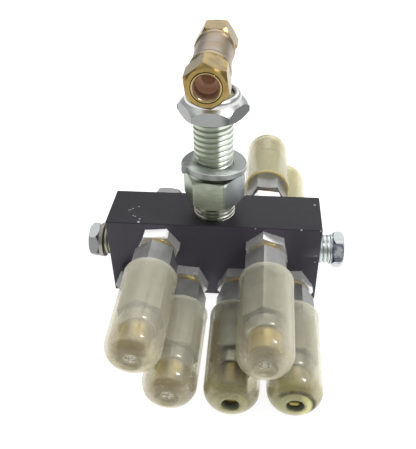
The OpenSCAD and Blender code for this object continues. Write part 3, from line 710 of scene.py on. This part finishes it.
def cap_finish(name, port, look):
    """Yellowed plastic that lets the sleeve show through its wall, oily at a pierced end, with painted
    shade in places.
    """
    if port.side < 0:
        base, aged = colours().cap, (0.66, 0.59, 0.36)
        clear, rim_colour = (0.958, 0.948, 0.888), (0.86, 0.84, 0.74)
    else:
        base, aged = colours().rear_cap, (0.60, 0.54, 0.28)
        clear, rim_colour = (0.925, 0.905, 0.775), (0.72, 0.53, 0.17)
    dirt_and_shade = look.dirt_and_shade
    finish = Finish(name, IOR=1.5, Specular_IOR_Level=0.5, Coat_IOR=1.8, Coat_Roughness=0.08)
    cloud, mottle = finish.noise(160, 3), finish.cloud(520, 0.65)
    flow = finish.noise(420, 3, 0.6, stretch=(1, 0.12, 1))
    dust = finish.noise(1500, 1).ramp(0.70, 0.74) * cloud.ramp(0.50, 0.60)
    facing = finish.node("ShaderNodeLayerWeight", None, {"Blend": 0.4}, out="Facing")
    across, height, radius = finish.polar("XZ", port.centre)
    reach = abs(finish.axis("Y")) - (BAR_FACE + sizes().cap_rim + port.extra + port.cap_out)
    rim = reach.ramp(1.1, 0.3)
    end = reach.ramp(24.6 + 2.6 * dirt_and_shade, 30.4 + 1.2 * dirt_and_shade)
    upper = height.ramp(1.0, 3.0)
    belly = height.ramp(-1.5, -4.5) * reach.ramp(22.5, 26.0)
    window = reach.band(24.0, 25.6, 29.2, 30.6) * upper
    # Painted shade: the nose's end face, dark brown where it shows through the end.
    face = (radius.ramp(2.8, 3.8) * upper * reach.ramp(29.8, 30.8) * abs(across).ramp(5.2, 3.4)
            * dirt_and_shade)
    # Painted shade on the right of the dome or, for a negative value, along the left side.
    if look.side_shade < 0:
        shaded_side = across.ramp(-2.0, -5.0) * -look.side_shade
    else:
        shaded_side = reach.ramp(23.5, 26.2) * across.ramp(1.5, 5.0) * look.side_shade
    finish.tone = finish.blend(facing ** 2.0 * 0.7 + cloud * 0.2, shade(base, look.tone),
                               shade(aged, look.tone))
    finish.paint(end * (0.25 + 0.45 * dirt_and_shade),
                 finish.blend(mottle.ramp(0.2, 0.8), (0.42, 0.33, 0.13), (0.60, 0.53, 0.27)))
    finish.paint(face * 0.85, finish.blend(mottle, (0.24, 0.17, 0.07), (0.34, 0.26, 0.12)))
    finish.paint(shaded_side, finish.blend(mottle, (0.16, 0.13, 0.06), (0.32, 0.29, 0.17)))
    finish.paint(dust * 0.6, (0.88, 0.87, 0.82))
    finish.paint(rim * 0.8, rim_colour)
    on = SimpleNamespace(reach=reach, across=across, height=height, radius=radius, upper=upper,
                         end=end, tip=reach.ramp(29.0, 29.5), facing=facing, mottle=mottle)
    hidden, dull = oily_end(finish, on, look.oil) if look.oil else closed_end(finish, on, port)
    hidden = (hidden + look.cover + look.lean * across.ramp(1.0, 6.0) + facing ** 2.5 * 0.34
              + rim * 0.30 + end * (0.13 + 0.12 * dirt_and_shade) + belly * (0.20 + 0.25 * dirt_and_shade)
              + window * (0.05 - 0.07 * dirt_and_shade) + face * 0.04 + shaded_side * 0.5 + dust * 0.15
              + (cloud - 0.5) * 0.08 + (flow - 0.5) * 0.13 + end * (mottle - 0.5) * 0.10)
    glass = finish.node("ShaderNodeBsdfTransparent", None, {"Color": clear})
    plastic = Wire(finish, finish.shader.outputs[0])
    mixed = finish.node("ShaderNodeMixShader", None,
                        {0: hidden.least(0.97).most(0.0), 1: glass, 2: plastic})
    finish.feed(finish.tree.nodes["Material Output"].inputs["Surface"], mixed)
    return finish.done(0.22 + dull * 0.4, cloud, 0.18, 0.3, Coat_Weight=0.5 - dull * 0.5)


def floor_finish():
    finish = Finish("pale floor", Roughness=0.9, Specular_IOR_Level=0.1, Emission_Strength=0.85,
                    Emission_Color=(*WHITE, 1.0))
    finish.set(Base_Color=finish.shades(finish.noise(3, 2), colours().floor, 0.99, 1.01))
    return finish.material


def shift(x=0.0, y=0.0, z=0.0):
    return Matrix.Translation((x * MM, y * MM, z * MM))


def spin(degrees, axis="Z"):
    return Matrix.Rotation(math.radians(degrees), 4, axis)


def deselect():
    if bpy.context.object and bpy.context.object.mode == "EDIT":
        leave_edit()
    bpy.ops.object.select_all(action="DESELECT")


def choose(*pieces):
    deselect()
    for piece in pieces:
        piece.select_set(True)
    bpy.context.view_layer.objects.active = pieces[0]


def edit(piece):
    choose(piece)
    bpy.ops.object.mode_set(mode="EDIT")
    bpy.ops.mesh.select_all(action="SELECT")


def leave_edit():
    bpy.ops.object.mode_set(mode="OBJECT")


def draw(name, points):
    """A chain of edges, drawn point by point from one vertex."""
    deselect()
    bpy.ops.mesh.primitive_plane_add(size=MM)
    line = bpy.context.object
    line.name = name
    bpy.ops.object.mode_set(mode="EDIT")
    bpy.ops.mesh.merge(type="CENTER")
    bpy.ops.transform.translate(value=[value * MM for value in points[0]])
    for first, second in zip(points, points[1:]):
        step = [(there - here) * MM for here, there in zip(first, second)]
        bpy.ops.mesh.extrude_region_move(TRANSFORM_OT_translate={"value": step})
    leave_edit()
    return line


def section(name, points):
    """An outline in the XZ plane, given as (radius, height)."""
    return draw(name, [(radius, 0, height) for radius, height in points])


def turned(name, points, steps):
    """A piece turned about Z from its half section."""
    piece = section(name, points)
    edit(piece)
    bpy.ops.mesh.spin(steps=steps, angle=2 * math.pi, center=(0, 0, 0), axis=(0, 0, 1))
    bpy.ops.mesh.select_all(action="SELECT")
    bpy.ops.mesh.remove_doubles(threshold=2e-6)
    bpy.ops.mesh.dissolve_degenerate(threshold=1e-7)
    bpy.ops.mesh.select_all(action="SELECT")
    bpy.ops.mesh.normals_make_consistent(inside=False)
    leave_edit()
    return piece


def cut_flats(piece, across, turn=0.0):
    """Planes the sides of a turned piece to a hexagon. A corner faces X at turn 0."""
    edit(piece)
    for side in range(6):
        facing = math.radians(turn + 30) + 2 * math.pi * side / 6
        normal = (math.cos(facing), math.sin(facing), 0)
        bpy.ops.mesh.select_all(action="SELECT")
        bpy.ops.mesh.bisect(plane_co=[n * across / 2 * MM for n in normal], plane_no=normal,
                            use_fill=True, clear_outer=True)
    bpy.ops.mesh.select_all(action="SELECT")
    bpy.ops.mesh.remove_doubles(threshold=2e-6)
    leave_edit()


def hex_section(across, low, high, chamfer, inset, low_cut=True):
    """Outer half section of a hexagon whose corners are turned off at its ends."""
    corner = across / math.sqrt(3)
    reach, edge = corner + 0.1, across / 2 - inset
    rise = chamfer * (reach - edge) / (corner - edge)
    bottom = [(edge, low), (reach, low + rise)] if low_cut else [(reach, low)]
    return [*bottom, (reach, high - rise), (edge, high)]


def arc(x, z, radius_x, radius_z, start, stop, steps):
    """Points of an arc in a half section, from start to stop in degrees."""
    angles = [math.radians(start + (stop - start) * i / steps) for i in range(steps + 1)]
    return [(x + radius_x * math.cos(a), z + radius_z * math.sin(a)) for a in angles]


def trim(piece, height, above):
    """Cuts a piece level at a height and closes the cut."""
    edit(piece)
    bpy.ops.mesh.bisect(plane_co=(0, 0, height * MM), plane_no=(0, 0, 1), use_fill=True,
                        clear_outer=above, clear_inner=not above)
    leave_edit()


def close_up(piece, fill=False):
    """Merges a wound piece's doubles, fills its open ends and turns its faces outwards."""
    edit(piece)
    bpy.ops.mesh.remove_doubles(threshold=1e-6)
    if fill:
        bpy.ops.mesh.fill_holes(sides=0)
    bpy.ops.mesh.normals_make_consistent(inside=False)
    leave_edit()


def modify(piece, kind, **settings):
    choose(piece)
    modifier = piece.modifiers.new(kind.lower(), kind)
    for label, value in settings.items():
        setattr(modifier, label, value)
    bpy.ops.object.modifier_apply(modifier=modifier.name)


def wind(piece, pitch, turns, steps, **settings):
    """Sweeps a section up a right-hand helix about Z."""
    modify(piece, "SCREW", axis="Z", angle=2 * math.pi, screw_offset=pitch * MM, iterations=turns,
           steps=steps, render_steps=steps, **settings)


def soften(piece, width, segments, degrees):
    modify(piece, "BEVEL", width=width * MM, segments=segments, limit_method="ANGLE",
           angle_limit=math.radians(degrees), harden_normals=False, use_clamp_overlap=True)


def smooth(piece, degrees):
    choose(piece)
    bpy.ops.object.shade_smooth_by_angle(angle=math.radians(degrees))


def move(piece, matrix):
    """Sets a piece down by a matrix and applies it, so its object stays at the origin."""
    choose(piece)
    piece.matrix_world = matrix
    bpy.ops.object.transform_apply(location=True, rotation=True, scale=True)
    return piece


def copy_of(piece, name, matrix):
    twin = piece.copy()
    twin.data = piece.data.copy()
    twin.name = name
    bpy.context.collection.objects.link(twin)
    return move(twin, matrix)


def join(name, *pieces):
    choose(*pieces)
    bpy.ops.object.join()
    pieces[0].name = name
    return pieces[0]


def discard(*pieces):
    for piece in pieces:
        bpy.data.objects.remove(piece)


def dress(piece, material, body, node, slot):
    """Gives a finished piece its material and the body it rides on, and hides the node it stands for."""
    piece.data.materials.clear()
    piece.data.materials.append(material)
    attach(piece, body)
    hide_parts(node)


def paint_node(name, material):
    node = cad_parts[name]
    if not node.data.materials:
        node.data.materials.append(material)
    for slot in node.material_slots:
        slot.link = "OBJECT"
        slot.material = material


def thread(name, major, depth, pitch, low, high):
    """A right-hand external thread with rounded roots and flat crests, cut level at both ends."""
    crest, root = major / 2, major / 2 - depth
    tooth = section(name, [
        (root, 0), (root + depth * 0.12, pitch * 0.05), (crest - depth * 0.1, pitch * 0.21),
        (crest, pitch * 0.24), (crest, pitch * 0.76), (crest - depth * 0.1, pitch * 0.80),
        (root + depth * 0.12, pitch * 0.95), (root, pitch)])
    wind(tooth, pitch, int((high - low) / pitch) + 3, 40, use_merge_vertices=True,
         merge_threshold=1e-6)
    move(tooth, shift(z=low - 1.5 * pitch))
    trim(tooth, high, above=True)
    trim(tooth, low, above=False)
    close_up(tooth)
    return tooth


class DIVIDER_OT_bar(bpy.types.Operator):
    """Finish the drilled bar"""

    bl_idname = "divider.bar"
    bl_label = "Manifold bar"

    def execute(self, context):
        paint_node("manifold_block", anodised_finish())
        return {"FINISHED"}


class DIVIDER_OT_stud(bpy.types.Operator):
    """Model the bulkhead stud with both of its threads and its hexagon"""

    bl_idname = "divider.stud"
    bl_label = "Bulkhead stud"

    def execute(self, context):
        size = sizes()
        low, top = (corner[2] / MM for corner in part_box("bulkhead_stud"))
        base, flat = STUD_HEX_LOW, size.stud_hex_af / 2
        corner = size.stud_hex_af / math.sqrt(3) + 0.4
        upper = thread("stud thread", size.stud_d, STUD_THREAD_DEPTH, size.stud_pitch, -0.4, top - 0.6)
        lower = thread("root thread", size.root_d, ROOT_THREAD_DEPTH, size.root_pitch, low, base + 0.4)
        hexagon = turned("stud hexagon", [
            (0, base), (flat - 0.5, base), (flat, base + 0.15), (corner, base + 1.5), (corner, -1.5),
            (flat, -0.15), (flat - 0.5, 0), (0, 0)], 96)
        cut_flats(hexagon, size.stud_hex_af, STUD_HEX_TURN)
        soften(hexagon, 0.12, 2, 28)
        tip = turned("stud tip", [
            (2.5, top - 1.2), (4.9, top - 1.2), (4.9, top), (4.2, top), (3.9, top - 0.5),
            (2.5, top - 0.5), (2.5, top - 1.2)], 72)
        stud = join("stud", hexagon, upper, lower, tip)
        smooth(stud, 22)
        dress(stud, stud_finish(), "block", "bulkhead_stud", "yellow_zinc")
        return {"FINISHED"}


class DIVIDER_OT_washer(bpy.types.Operator):
    """Sweep the split spring washer down its turn, with slanted ends"""

    bl_idname = "divider.washer"
    bl_label = "Spring washer"

    def lift(self, degrees):
        """Height of the underside: raised at the free end, flat from half a turn on."""
        ease = min(1.0, max(0.0, (degrees - RISE_START) / RISE_SPAN))
        return SPLIT_RISE / 2 * (1 + math.cos(math.pi * ease))

    def execute(self, context):
        size = sizes()
        steps, slant = 84, SPLIT_SLANT
        inner, thick = size.stud_d / 2 + 0.2, size.washer_t
        outer = inner + size.washer_w
        corners = []
        for radius, height, lean in ((inner, 0.0, slant), (outer, 0.0, slant),
                                     (outer, thick, -slant), (inner, thick, -slant)):
            facing = math.radians(SPLIT_START + lean)
            corners.append((radius * math.cos(facing), radius * math.sin(facing),
                            height + self.lift(SPLIT_START)))
        washer = draw("washer_sweep", corners)
        edit(washer)
        bpy.ops.mesh.edge_face_add()
        for step in range(steps):
            here, there = (self.lift(SPLIT_START + SPLIT_TURN * (step + i) / steps) for i in (0, 1))
            bpy.ops.mesh.extrude_region_move(
                TRANSFORM_OT_translate={"value": (0, 0, (there - here) * MM)})
            bpy.ops.transform.rotate(value=-math.radians(SPLIT_TURN / steps), orient_axis="Z",
                                     center_override=(0, 0, 0))
        bpy.ops.mesh.select_all(action="SELECT")
        bpy.ops.mesh.normals_make_consistent(inside=False)
        leave_edit()
        soften(washer, 0.4, 3, 40)
        smooth(washer, 30)
        dress(washer, washer_finish(), "block", "spring_washer", "spring_steel")
        return {"FINISHED"}


class DIVIDER_OT_lock_nut(bpy.types.Operator):
    """Model the lock nut with its rolled collar and finish its insert"""

    bl_idname = "divider.lock_nut"
    bl_label = "Lock nut"

    def execute(self, context):
        size = sizes()
        low, top = (corner[2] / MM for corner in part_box("lock_nut"))
        hex_top = low + 4.9
        flat, corner = size.nut_af / 2, size.nut_af / math.sqrt(3)
        bore, groove, lip = size.stud_d / 2 + 0.05, 7.1, 7.9
        nut = turned("nut", [
            (bore, low + 0.6), (bore + 0.6, low), (flat - 0.2, low), (corner, low + 1.0),
            (corner + 0.1, low + 1.0), (corner + 0.1, hex_top - 2.2), (corner, hex_top - 2.2),
            (corner - 0.25, hex_top - 1.8), (corner - 0.6, hex_top - 1.3), (flat + 0.1, hex_top - 0.62),
            (lip + 0.5, hex_top - 0.1), (lip + 0.3, hex_top + 0.05),
            *arc(lip - 0.9, hex_top + 0.5, 1.15, top - hex_top - 0.5, 0, 90, 8),
            (6.5, top - 0.05), (6.2, top - 0.35), (6.2, top - 0.7), (groove, top - 0.7),
            (groove, top - 2.9), (bore, top - 2.9), (bore, low + 0.6)], 108)
        cut_flats(nut, size.nut_af)
        smooth(nut, 30)
        dress(nut, lock_nut_finish(), "lock_nut", "lock_nut", "nut_zinc")
        paint_node("lock_nut_insert", moulded_finish(
            "blue nylon", (0.020, 0.022, 0.07), (0.05, 0.055, 0.17), 0.38, 900, 0.4, 0.04))
        return {"FINISHED"}


class DIVIDER_OT_tee(bpy.types.Operator):
    """Model the tee's body, its compression nuts and the sleeves in them"""

    bl_idname = "divider.tee"
    bl_label = "Compression tee"

    def run(self, radius, face):
        """Half of the tee's run, from its middle to its end inside the nut."""
        return turned("tee run", [
            (0, -0.1), (radius - 0.35, -0.1), (radius - 0.35, face - 2.8), (radius - 0.2, face - 2.6),
            (radius, face - 2.3), (radius, face - 0.7), (radius - 0.3, face - 0.2),
            (radius - 0.6, face - 0.1), (4.5, face - 0.1), (4.5, TEE_REACH - 3.1),
            (3.9, TEE_REACH - 3.0), (TEE_PIPE_R, TEE_REACH - 4.0), (TEE_PIPE_R, TEE_REACH - 7.1),
            (TEE_BORE, TEE_REACH - 7.1), (TEE_BORE, 0.5), (0, 0.5)], 64)

    def nut(self, name, across, face, turn):
        end = TEE_REACH
        piece = turned(name, [
            (4.8, face), *hex_section(across, face, end, 1.2, 0.35), (4.25, end), (4.1, end - 0.1),
            (4.05, end - 0.5), (4.05, end - 1.5), (4.8, end - 2.4), (4.8, face)], 108)
        cut_flats(piece, across, turn)
        return piece

    def mouth(self, name):
        """The sleeve that holds the pipe in a nut."""
        end = TEE_REACH
        return turned(name, [
            (TEE_PIPE_R, end - 3.85), (TEE_PIPE_R, end - 0.8), (3.3, end - 0.45), (3.5, end - 0.15),
            (3.68, end), (3.9, end), (4.0, end - 0.1), (4.0, end - 2.75), (TEE_PIPE_R, end - 3.85)], 96)

    def execute(self, context):
        size = sizes()
        face = TEE_REACH - TEE_NUT_L
        bright, bronze = tee_nut_finish(), tee_sleeve_finish()
        front, rear = (shift(z=TEE_HEIGHT) @ spin(degrees, "X") for degrees in (90, -90))
        halves = [move(self.run(size.tee_d / 2, face), place) for place in (front, rear)]
        branch = turned("tee branch", [
            (TEE_BORE, TEE_HEIGHT - 4), (TEE_BORE, 18.4), (3.9, 18.4), (3.9, 25.25), (4.9, 25.3),
            (TEE_STEM_R, 25.9), (TEE_STEM_R, TEE_HEIGHT - 4)], 64)
        tee = join("tee", *halves, branch)
        smooth(tee, 35)
        dress(tee, tee_body_finish(), "block", "tee_body", "cast_brass")
        for end, place, turn, across in (("front", front, -22, size.tee_nut_af),
                                         ("rear", rear, 0, size.tee_nut_af - 0.3)):
            nut = move(self.nut(f"{end}_tee_nut", across, face, turn), place)
            smooth(nut, 30)
            dress(nut, bright, "block", f"tee_nut_{end}", "bright_brass")
        for end, place in (("front", front), ("rear", rear)):
            mouth = move(self.mouth(f"{end}_mouth"), place)
            smooth(mouth, 50)
            dress(mouth, bronze, "block", f"tee_sleeve_{end}", "cast_brass")
        return {"FINISHED"}


class DIVIDER_OT_plugs(bpy.types.Operator):
    """Model the end plugs with their threads and the hexagon plugs in the spare ports"""

    bl_idname = "divider.plugs"
    bl_label = "Plugs"

    def end_plugs(self, size):
        zinc = end_plug_finish()
        reach, stand = size.plug_reach, size.plug_reach - size.plug_head
        flange = turned("plug flange", [
            (4.2, stand - 0.9), (4.9, stand - 0.9), (5.1, stand - 0.7), (5.1, stand - 0.4),
            (4.7, stand - 0.2), (4.7, stand + 0.1), (4.2, stand + 0.1), (4.2, stand - 0.9)], 72)
        left, right = (shift(side * BAR_END, 0, BAR_MID) @ spin(90 * side, "Y") for side in (-1, 1))
        for end, place, turn, chamfer in (("right", right, 33, 0.7), ("left", left, 17, 0.9)):
            head = turned("plug head", [
                (0, stand), *hex_section(size.plug_af, stand, reach, chamfer, 0.1), (0, reach)], 96)
            cut_flats(head, size.plug_af)
            screw = thread("plug thread", END_THREAD_D, END_THREAD_DEPTH, END_THREAD_PITCH, -5, stand + 0.2)
            parts = (head, screw, flange) if end == "right" else (head, screw)
            plug = move(join(f"{end}_plug", *parts), place @ spin(turn))
            smooth(plug, 32)
            dress(plug, zinc, "block", f"end_plug_{end}", "zinc")
        inner, outer, under = 4.9, size.seal_d / 2, stand - size.seal_t
        seal = turned("seal_ring", [
            (inner, under), (outer - 0.2, under), (outer, under + 0.2), (outer, stand - 0.2),
            (outer - 0.2, stand), (inner, stand), (inner, under)], 72)
        move(seal, left)
        smooth(seal, 30)
        dress(seal, metal_finish("seal steel", (0.33, 0.30, 0.27), 0.42, 0.15),
              "block", "end_plug_seal", "zinc")

    def spare_plugs(self, size):
        alloy = metal_finish("plug alloy", shade(colours().alloy, 0.62), 0.42, 0.10, metallic=0.9)
        for node, ports in SPARE_PORTS.items():
            head = size.port_plug_head + ports[0].extra
            pattern = turned("port plug", [
                (0, -PORT_THREAD_L), (PORT_THREAD_R, -PORT_THREAD_L), (PORT_THREAD_R, 0),
                *hex_section(size.unit_af, 0, head, 0.7, 0.1, False), (0, head)], 96)
            cut_flats(pattern, size.unit_af)
            twins = [copy_of(pattern, "spare", port.place(port.turn)) for port in ports]
            discard(pattern)
            group = join(f"spare_{node}", *twins)
            smooth(group, 30)
            dress(group, alloy, "block", node, "grey_alloy")

    def execute(self, context):
        size = sizes()
        self.end_plugs(size)
        self.spare_plugs(size)
        return {"FINISHED"}


class DIVIDER_OT_units(bpy.types.Operator):
    """Model the metering units' bases, barrels and sleeves, and finish what is inside them"""

    bl_idname = "divider.units"
    bl_label = "Metering units"

    def base(self, size, more):
        """The hexagon that screws into a port, so much thicker than the front ones."""
        top, seat, foot = size.base_t + more, more + 1.1, more - 1.3
        piece = turned("unit base", [
            (INLET_R, -PORT_THREAD_L), (PORT_THREAD_R, -PORT_THREAD_L), (PORT_THREAD_R, 0),
            *hex_section(size.unit_af, 0, top, 0.15, 0.05, False), (4, top), (4, seat), (3, seat),
            (3, foot), (INLET_R, foot), (INLET_R, -PORT_THREAD_L)], 96)
        cut_flats(piece, size.unit_af)
        smooth(piece, 30)
        return piece

    def barrel(self, size, start, tip):
        """The brass from its valve seat over the neck to the nose, with chamber and socket."""
        radius, neck, hole = size.barrel_d / 2, size.neck_d / 2, size.outlet_d / 2
        top, seat, foot = size.base_t, 1.1, start + 0.4
        piece = turned("unit barrel", [
            (INLET_R, seat), (PORT_THREAD_R, seat), (PORT_THREAD_R, top), (neck - 0.2, top),
            (neck, top + 0.25), (neck, start - 0.25), (neck - 0.2, start), (radius, start),
            (radius, tip - 1.0), *arc(radius - 0.8, tip - 0.8, 0.8, 0.8, 0, 90, 5)[1:],
            (hole + 0.7, tip), (hole, tip - 0.8), (hole, tip - 8), (1.1, tip - 8),
            (1.1, CHAMBER_END), (CHAMBER_R, CHAMBER_END), (CHAMBER_R, foot), (INLET_R, foot),
            (INLET_R, seat)], 64)
        smooth(piece, 32)
        return piece

    def sleeve(self, size, start, end):
        """The hexagon over a barrel, with its rounded shoulder."""
        bore, top = size.barrel_d / 2 + 0.05, size.barrel_d / 2 + 0.55
        piece = turned("unit sleeve", [
            (bore, start), *hex_section(size.unit_af, start, end, 0.4, 0.1),
            *arc(top, end, size.unit_af / 2 - 0.1 - top, size.shoulder_l, 0, 90, 10)[1:],
            (bore, end + size.shoulder_l), (bore, start)], 96)
        cut_flats(piece, size.unit_af)
        smooth(piece, 30)
        return piece

    def spring(self, size, low, high):
        """A piston's return spring, wound from a ring of points and closed at both wire ends."""
        half = size.spring_wire / 2
        piece = section("unit spring", arc(size.spring_d / 2, low + half, half, half, 0, 360, 10))
        wind(piece, (high - low - 2 * half) / SPRING_TURNS, SPRING_TURNS, 24)
        close_up(piece, fill=True)
        smooth(piece, 50)
        return piece

    def execute(self, context):
        size = sizes()
        alloy, brass = sleeve_finish(), barrel_finish("barrel brass")
        # The first unit's base has the painted highlight on its upper flat.
        pale, painted_glare = base_finish("base alloy"), base_finish("worn base alloy", UNITS[0])
        steel = metal_finish("piston steel", (0.6, 0.6, 0.62), 0.2)
        wire = metal_finish("spring wire", (0.50, 0.50, 0.52), 0.25)
        start = size.base_t + size.neck_l
        end = start + size.sleeve_l
        bases = {-1: self.base(size, 0.0), 1: self.base(size, size.rear_extra)}
        barrel = self.barrel(size, start, end + size.shoulder_l + size.nose_l)
        sleeve = self.sleeve(size, start, end)
        spring = self.spring(size, SPRING_LOW, CHAMBER_END - 0.02)
        for number, port in enumerate(UNITS, 1):
            out = port.extra
            metal = barrel_finish(f"oily brass {number}", port) if port.pierced else brass
            foot = painted_glare if number == 1 else pale
            for pattern, part, material, slot, place in (
                    (bases[port.side], "base", foot, "grey_alloy", port.place(port.turn)),
                    (barrel, "barrel", metal, "barrel_brass", port.place(0, out)),
                    (sleeve, "sleeve", alloy, "grey_alloy", port.place(port.sleeve_turn, out)),
                    (spring, "spring", wire, "spring_steel", port.place(0, out))):
                twin = copy_of(pattern, f"{part}_{number}", place)
                dress(twin, material, "block", f"unit_{number}_{part}", slot)
            roof = port.place(0, out) @ Vector((0, 0, CHAMBER_END * MM))
            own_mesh(twin)
            paint_node(f"unit_{number}_piston", steel)
        discard(*bases.values(), barrel, sleeve, spring)
        paint_node("inlet_valves", moulded_finish(
            "valve rubber", (0.015, 0.015, 0.015), (0.04, 0.04, 0.04), 0.6, 1800, 0.3, 0.03))
        return {"FINISHED"}


class DIVIDER_OT_caps(bpy.types.Operator):
    """Model the push-on caps, closed and pierced"""

    bl_idname = "divider.caps"
    bl_label = "Caps"

    def cap(self, size, pierced):
        rim, end, wall, curve = size.cap_rim, size.cap_end, size.cap_wall, size.cap_round
        rim_r, end_r, gate_r = size.cap_rim_d / 2, size.cap_end_d / 2, size.gate_d / 2
        floor, roof = end - size.gate_depth, end - size.cap_end_wall
        brim = gate_r + (-0.1 if pierced else 0.6)
        gate = gate_r - (0.5 if pierced else 1.0)
        side = [(rim_r - wall, rim + 0.15), (rim_r - wall + 0.15, rim), (rim_r - 0.2, rim),
                (rim_r, rim + 0.25), (rim_r, rim + 1.2), (rim_r - 0.12, rim + 1.5)]
        outside = [(r, z) for r, z in arc(end_r - curve, end - curve, curve, curve, 0, 90, 14)
                   if r > brim + 0.3]
        inside = arc(end_r - curve, roof - curve + wall, curve - wall, curve - wall, 90, 0, 12)
        dish = [(gate + (brim - gate) * across, end - size.gate_depth * down)
                for across, down in ((1.0, 0.03), (0.93, 0.10), (0.72, 0.40), (0.42, 0.80),
                                     (0.18, 0.97), (0.0, 1.0))]
        if pierced:
            middle = [(gate, roof)]
            inside = [(r, z) for r, z in inside if r > gate + 0.1]
        else:
            middle = [(gate * 0.5, floor + 0.05), (0, floor + 0.02), (0, roof)]
        piece = turned("cap", [*side, *outside, *dish, *middle, *inside, side[0]], 80)
        if not pierced:
            pip = turned("pip", [(0, -0.1), (0.42, -0.1), (0.36, 0.1), (0.2, 0.2), (0, 0.23)], 16)
            pips = [copy_of(pip, "pip", shift(x, y, floor))
                    for x, y in ((0.2, 0.8), (0.85, -0.1), (-0.2, -0.8), (-0.8, 0.2))]
            discard(pip)
            piece = join("cap", piece, *pips)
        smooth(piece, 40)
        return piece

    def execute(self, context):
        size = sizes()
        closed, pierced = self.cap(size, False), self.cap(size, True)
        for number, (port, look) in enumerate(zip(UNITS, CAP_LOOKS), 1):
            place = port.place(40 * number, port.extra + port.cap_out)
            cap = copy_of(pierced if port.pierced else closed, f"cap_{number}", place)
            plastic = cap_finish(f"cap plastic {number}", port, look)
            dress(cap, plastic, f"unit_{number}_cap", f"unit_{number}_cap", "clear_cap")
        discard(closed, pierced)
        return {"FINISHED"}


class DIVIDER_OT_stage(bpy.types.Operator):
    """Lay the pale floor, hang the soft lights and set up the camera"""

    bl_idname = "divider.stage"
    bl_label = "Stage"

    def soft_light(self, name, place, width, depth, power):
        """An oval lamp at a place in metres, aimed at the stud."""
        lamp = bpy.data.lights.new(name, "AREA")
        lamp.shape = "ELLIPSE"
        lamp.size, lamp.size_y = width, depth
        lamp.energy = power
        holder = bpy.data.objects.new(name, lamp)
        bpy.context.collection.objects.link(holder)
        holder.location = place
        holder.rotation_euler = (-Vector(place)).to_track_quat("-Z", "Y").to_euler()

    def camera(self, look):
        a, e = look.azimuth, look.elevation
        back = Vector((math.sin(a) * math.cos(e), -math.cos(a) * math.cos(e), math.sin(e)))
        right = (-back).cross(Vector((0, 0, 1))).normalized()
        up = right.cross(-back)
        c, s = math.cos(look.roll), math.sin(look.roll)
        turn = Matrix((c * right + s * up, -s * right + c * up, back)).transposed()
        data = bpy.data.cameras.new("camera")
        data.sensor_width = 36.0
        data.lens = look.lens
        data.clip_start, data.clip_end = 0.01, 20.0
        camera = bpy.data.objects.new("camera", data)
        bpy.context.collection.objects.link(camera)
        camera.matrix_world = Matrix.Translation(look.place) @ turn.to_4x4()
        return camera

    def execute(self, context):
        scene = context.scene
        deselect()
        bpy.ops.mesh.primitive_plane_add(size=6.0, location=(0, 0, CAD_BOX[0].z))
        floor = context.object
        floor.name = "floor"
        bpy.ops.object.transform_apply(location=True)
        floor.data.materials.append(floor_finish())
        self.soft_light("key light", (0.336, -0.114, 0.468), 0.115, 0.115, 1.35)
        self.soft_light("top light", (0.0, -0.05, 0.9), 1.6, 1.6, 3.6)
        self.soft_light("back light", (0.1, 1.0, 0.75), 1.8, 0.9, 5.5)
        scene.world = scene.world or bpy.data.worlds.new("studio")
        scene.world.use_nodes = True
        sky = scene.world.node_tree.nodes["Background"].inputs
        sky["Color"].default_value = (0.97, 0.98, 1.0, 1.0)
        sky["Strength"].default_value = 0.42
        scene.view_settings.view_transform = "Standard"
        scene.cycles.transparent_max_bounces = 24
        scene.camera = self.camera(scene.divider_camera)
        return {"FINISHED"}


class DIVIDER_PT_panel(bpy.types.Panel):
    """Sizes, colours and pieces of the divider block"""

    bl_idname = "DIVIDER_PT_panel"
    bl_label = "Divider block"
    bl_space_type = "VIEW_3D"
    bl_region_type = "UI"
    bl_category = "Divider"

    def draw(self, context):
        for name, group in GROUPS.items():
            box = self.layout.box()
            for label in group.__annotations__:
                box.prop(getattr(context.scene, name), label)
        for operator in OPERATORS:
            self.layout.operator(operator.bl_idname)


GROUPS = {
    "divider_sizes": DividerSizes,
    "divider_colours": DividerColours,
    "divider_camera": DividerCamera,
}
OPERATORS = (
    DIVIDER_OT_bar,
    DIVIDER_OT_stud,
    DIVIDER_OT_washer,
    DIVIDER_OT_lock_nut,
    DIVIDER_OT_tee,
    DIVIDER_OT_plugs,
    DIVIDER_OT_units,
    DIVIDER_OT_caps,
    DIVIDER_OT_stage,
)


def register():
    for cls in (*GROUPS.values(), *OPERATORS, DIVIDER_PT_panel):
        bpy.utils.register_class(cls)
    for name, group in GROUPS.items():
        setattr(bpy.types.Scene, name, bpy.props.PointerProperty(type=group))


def unregister():
    for name in GROUPS:
        delattr(bpy.types.Scene, name)
    for cls in reversed((*GROUPS.values(), *OPERATORS, DIVIDER_PT_panel)):
        bpy.utils.unregister_class(cls)


def main():
    register()
    bpy.ops.divider.bar()
    bpy.ops.divider.stud()
    bpy.ops.divider.washer()
    bpy.ops.divider.lock_nut()
    bpy.ops.divider.tee()
    bpy.ops.divider.plugs()
    bpy.ops.divider.units()
    bpy.ops.divider.caps()
    bpy.ops.divider.stage()


if __name__ == "__main__":
    main()
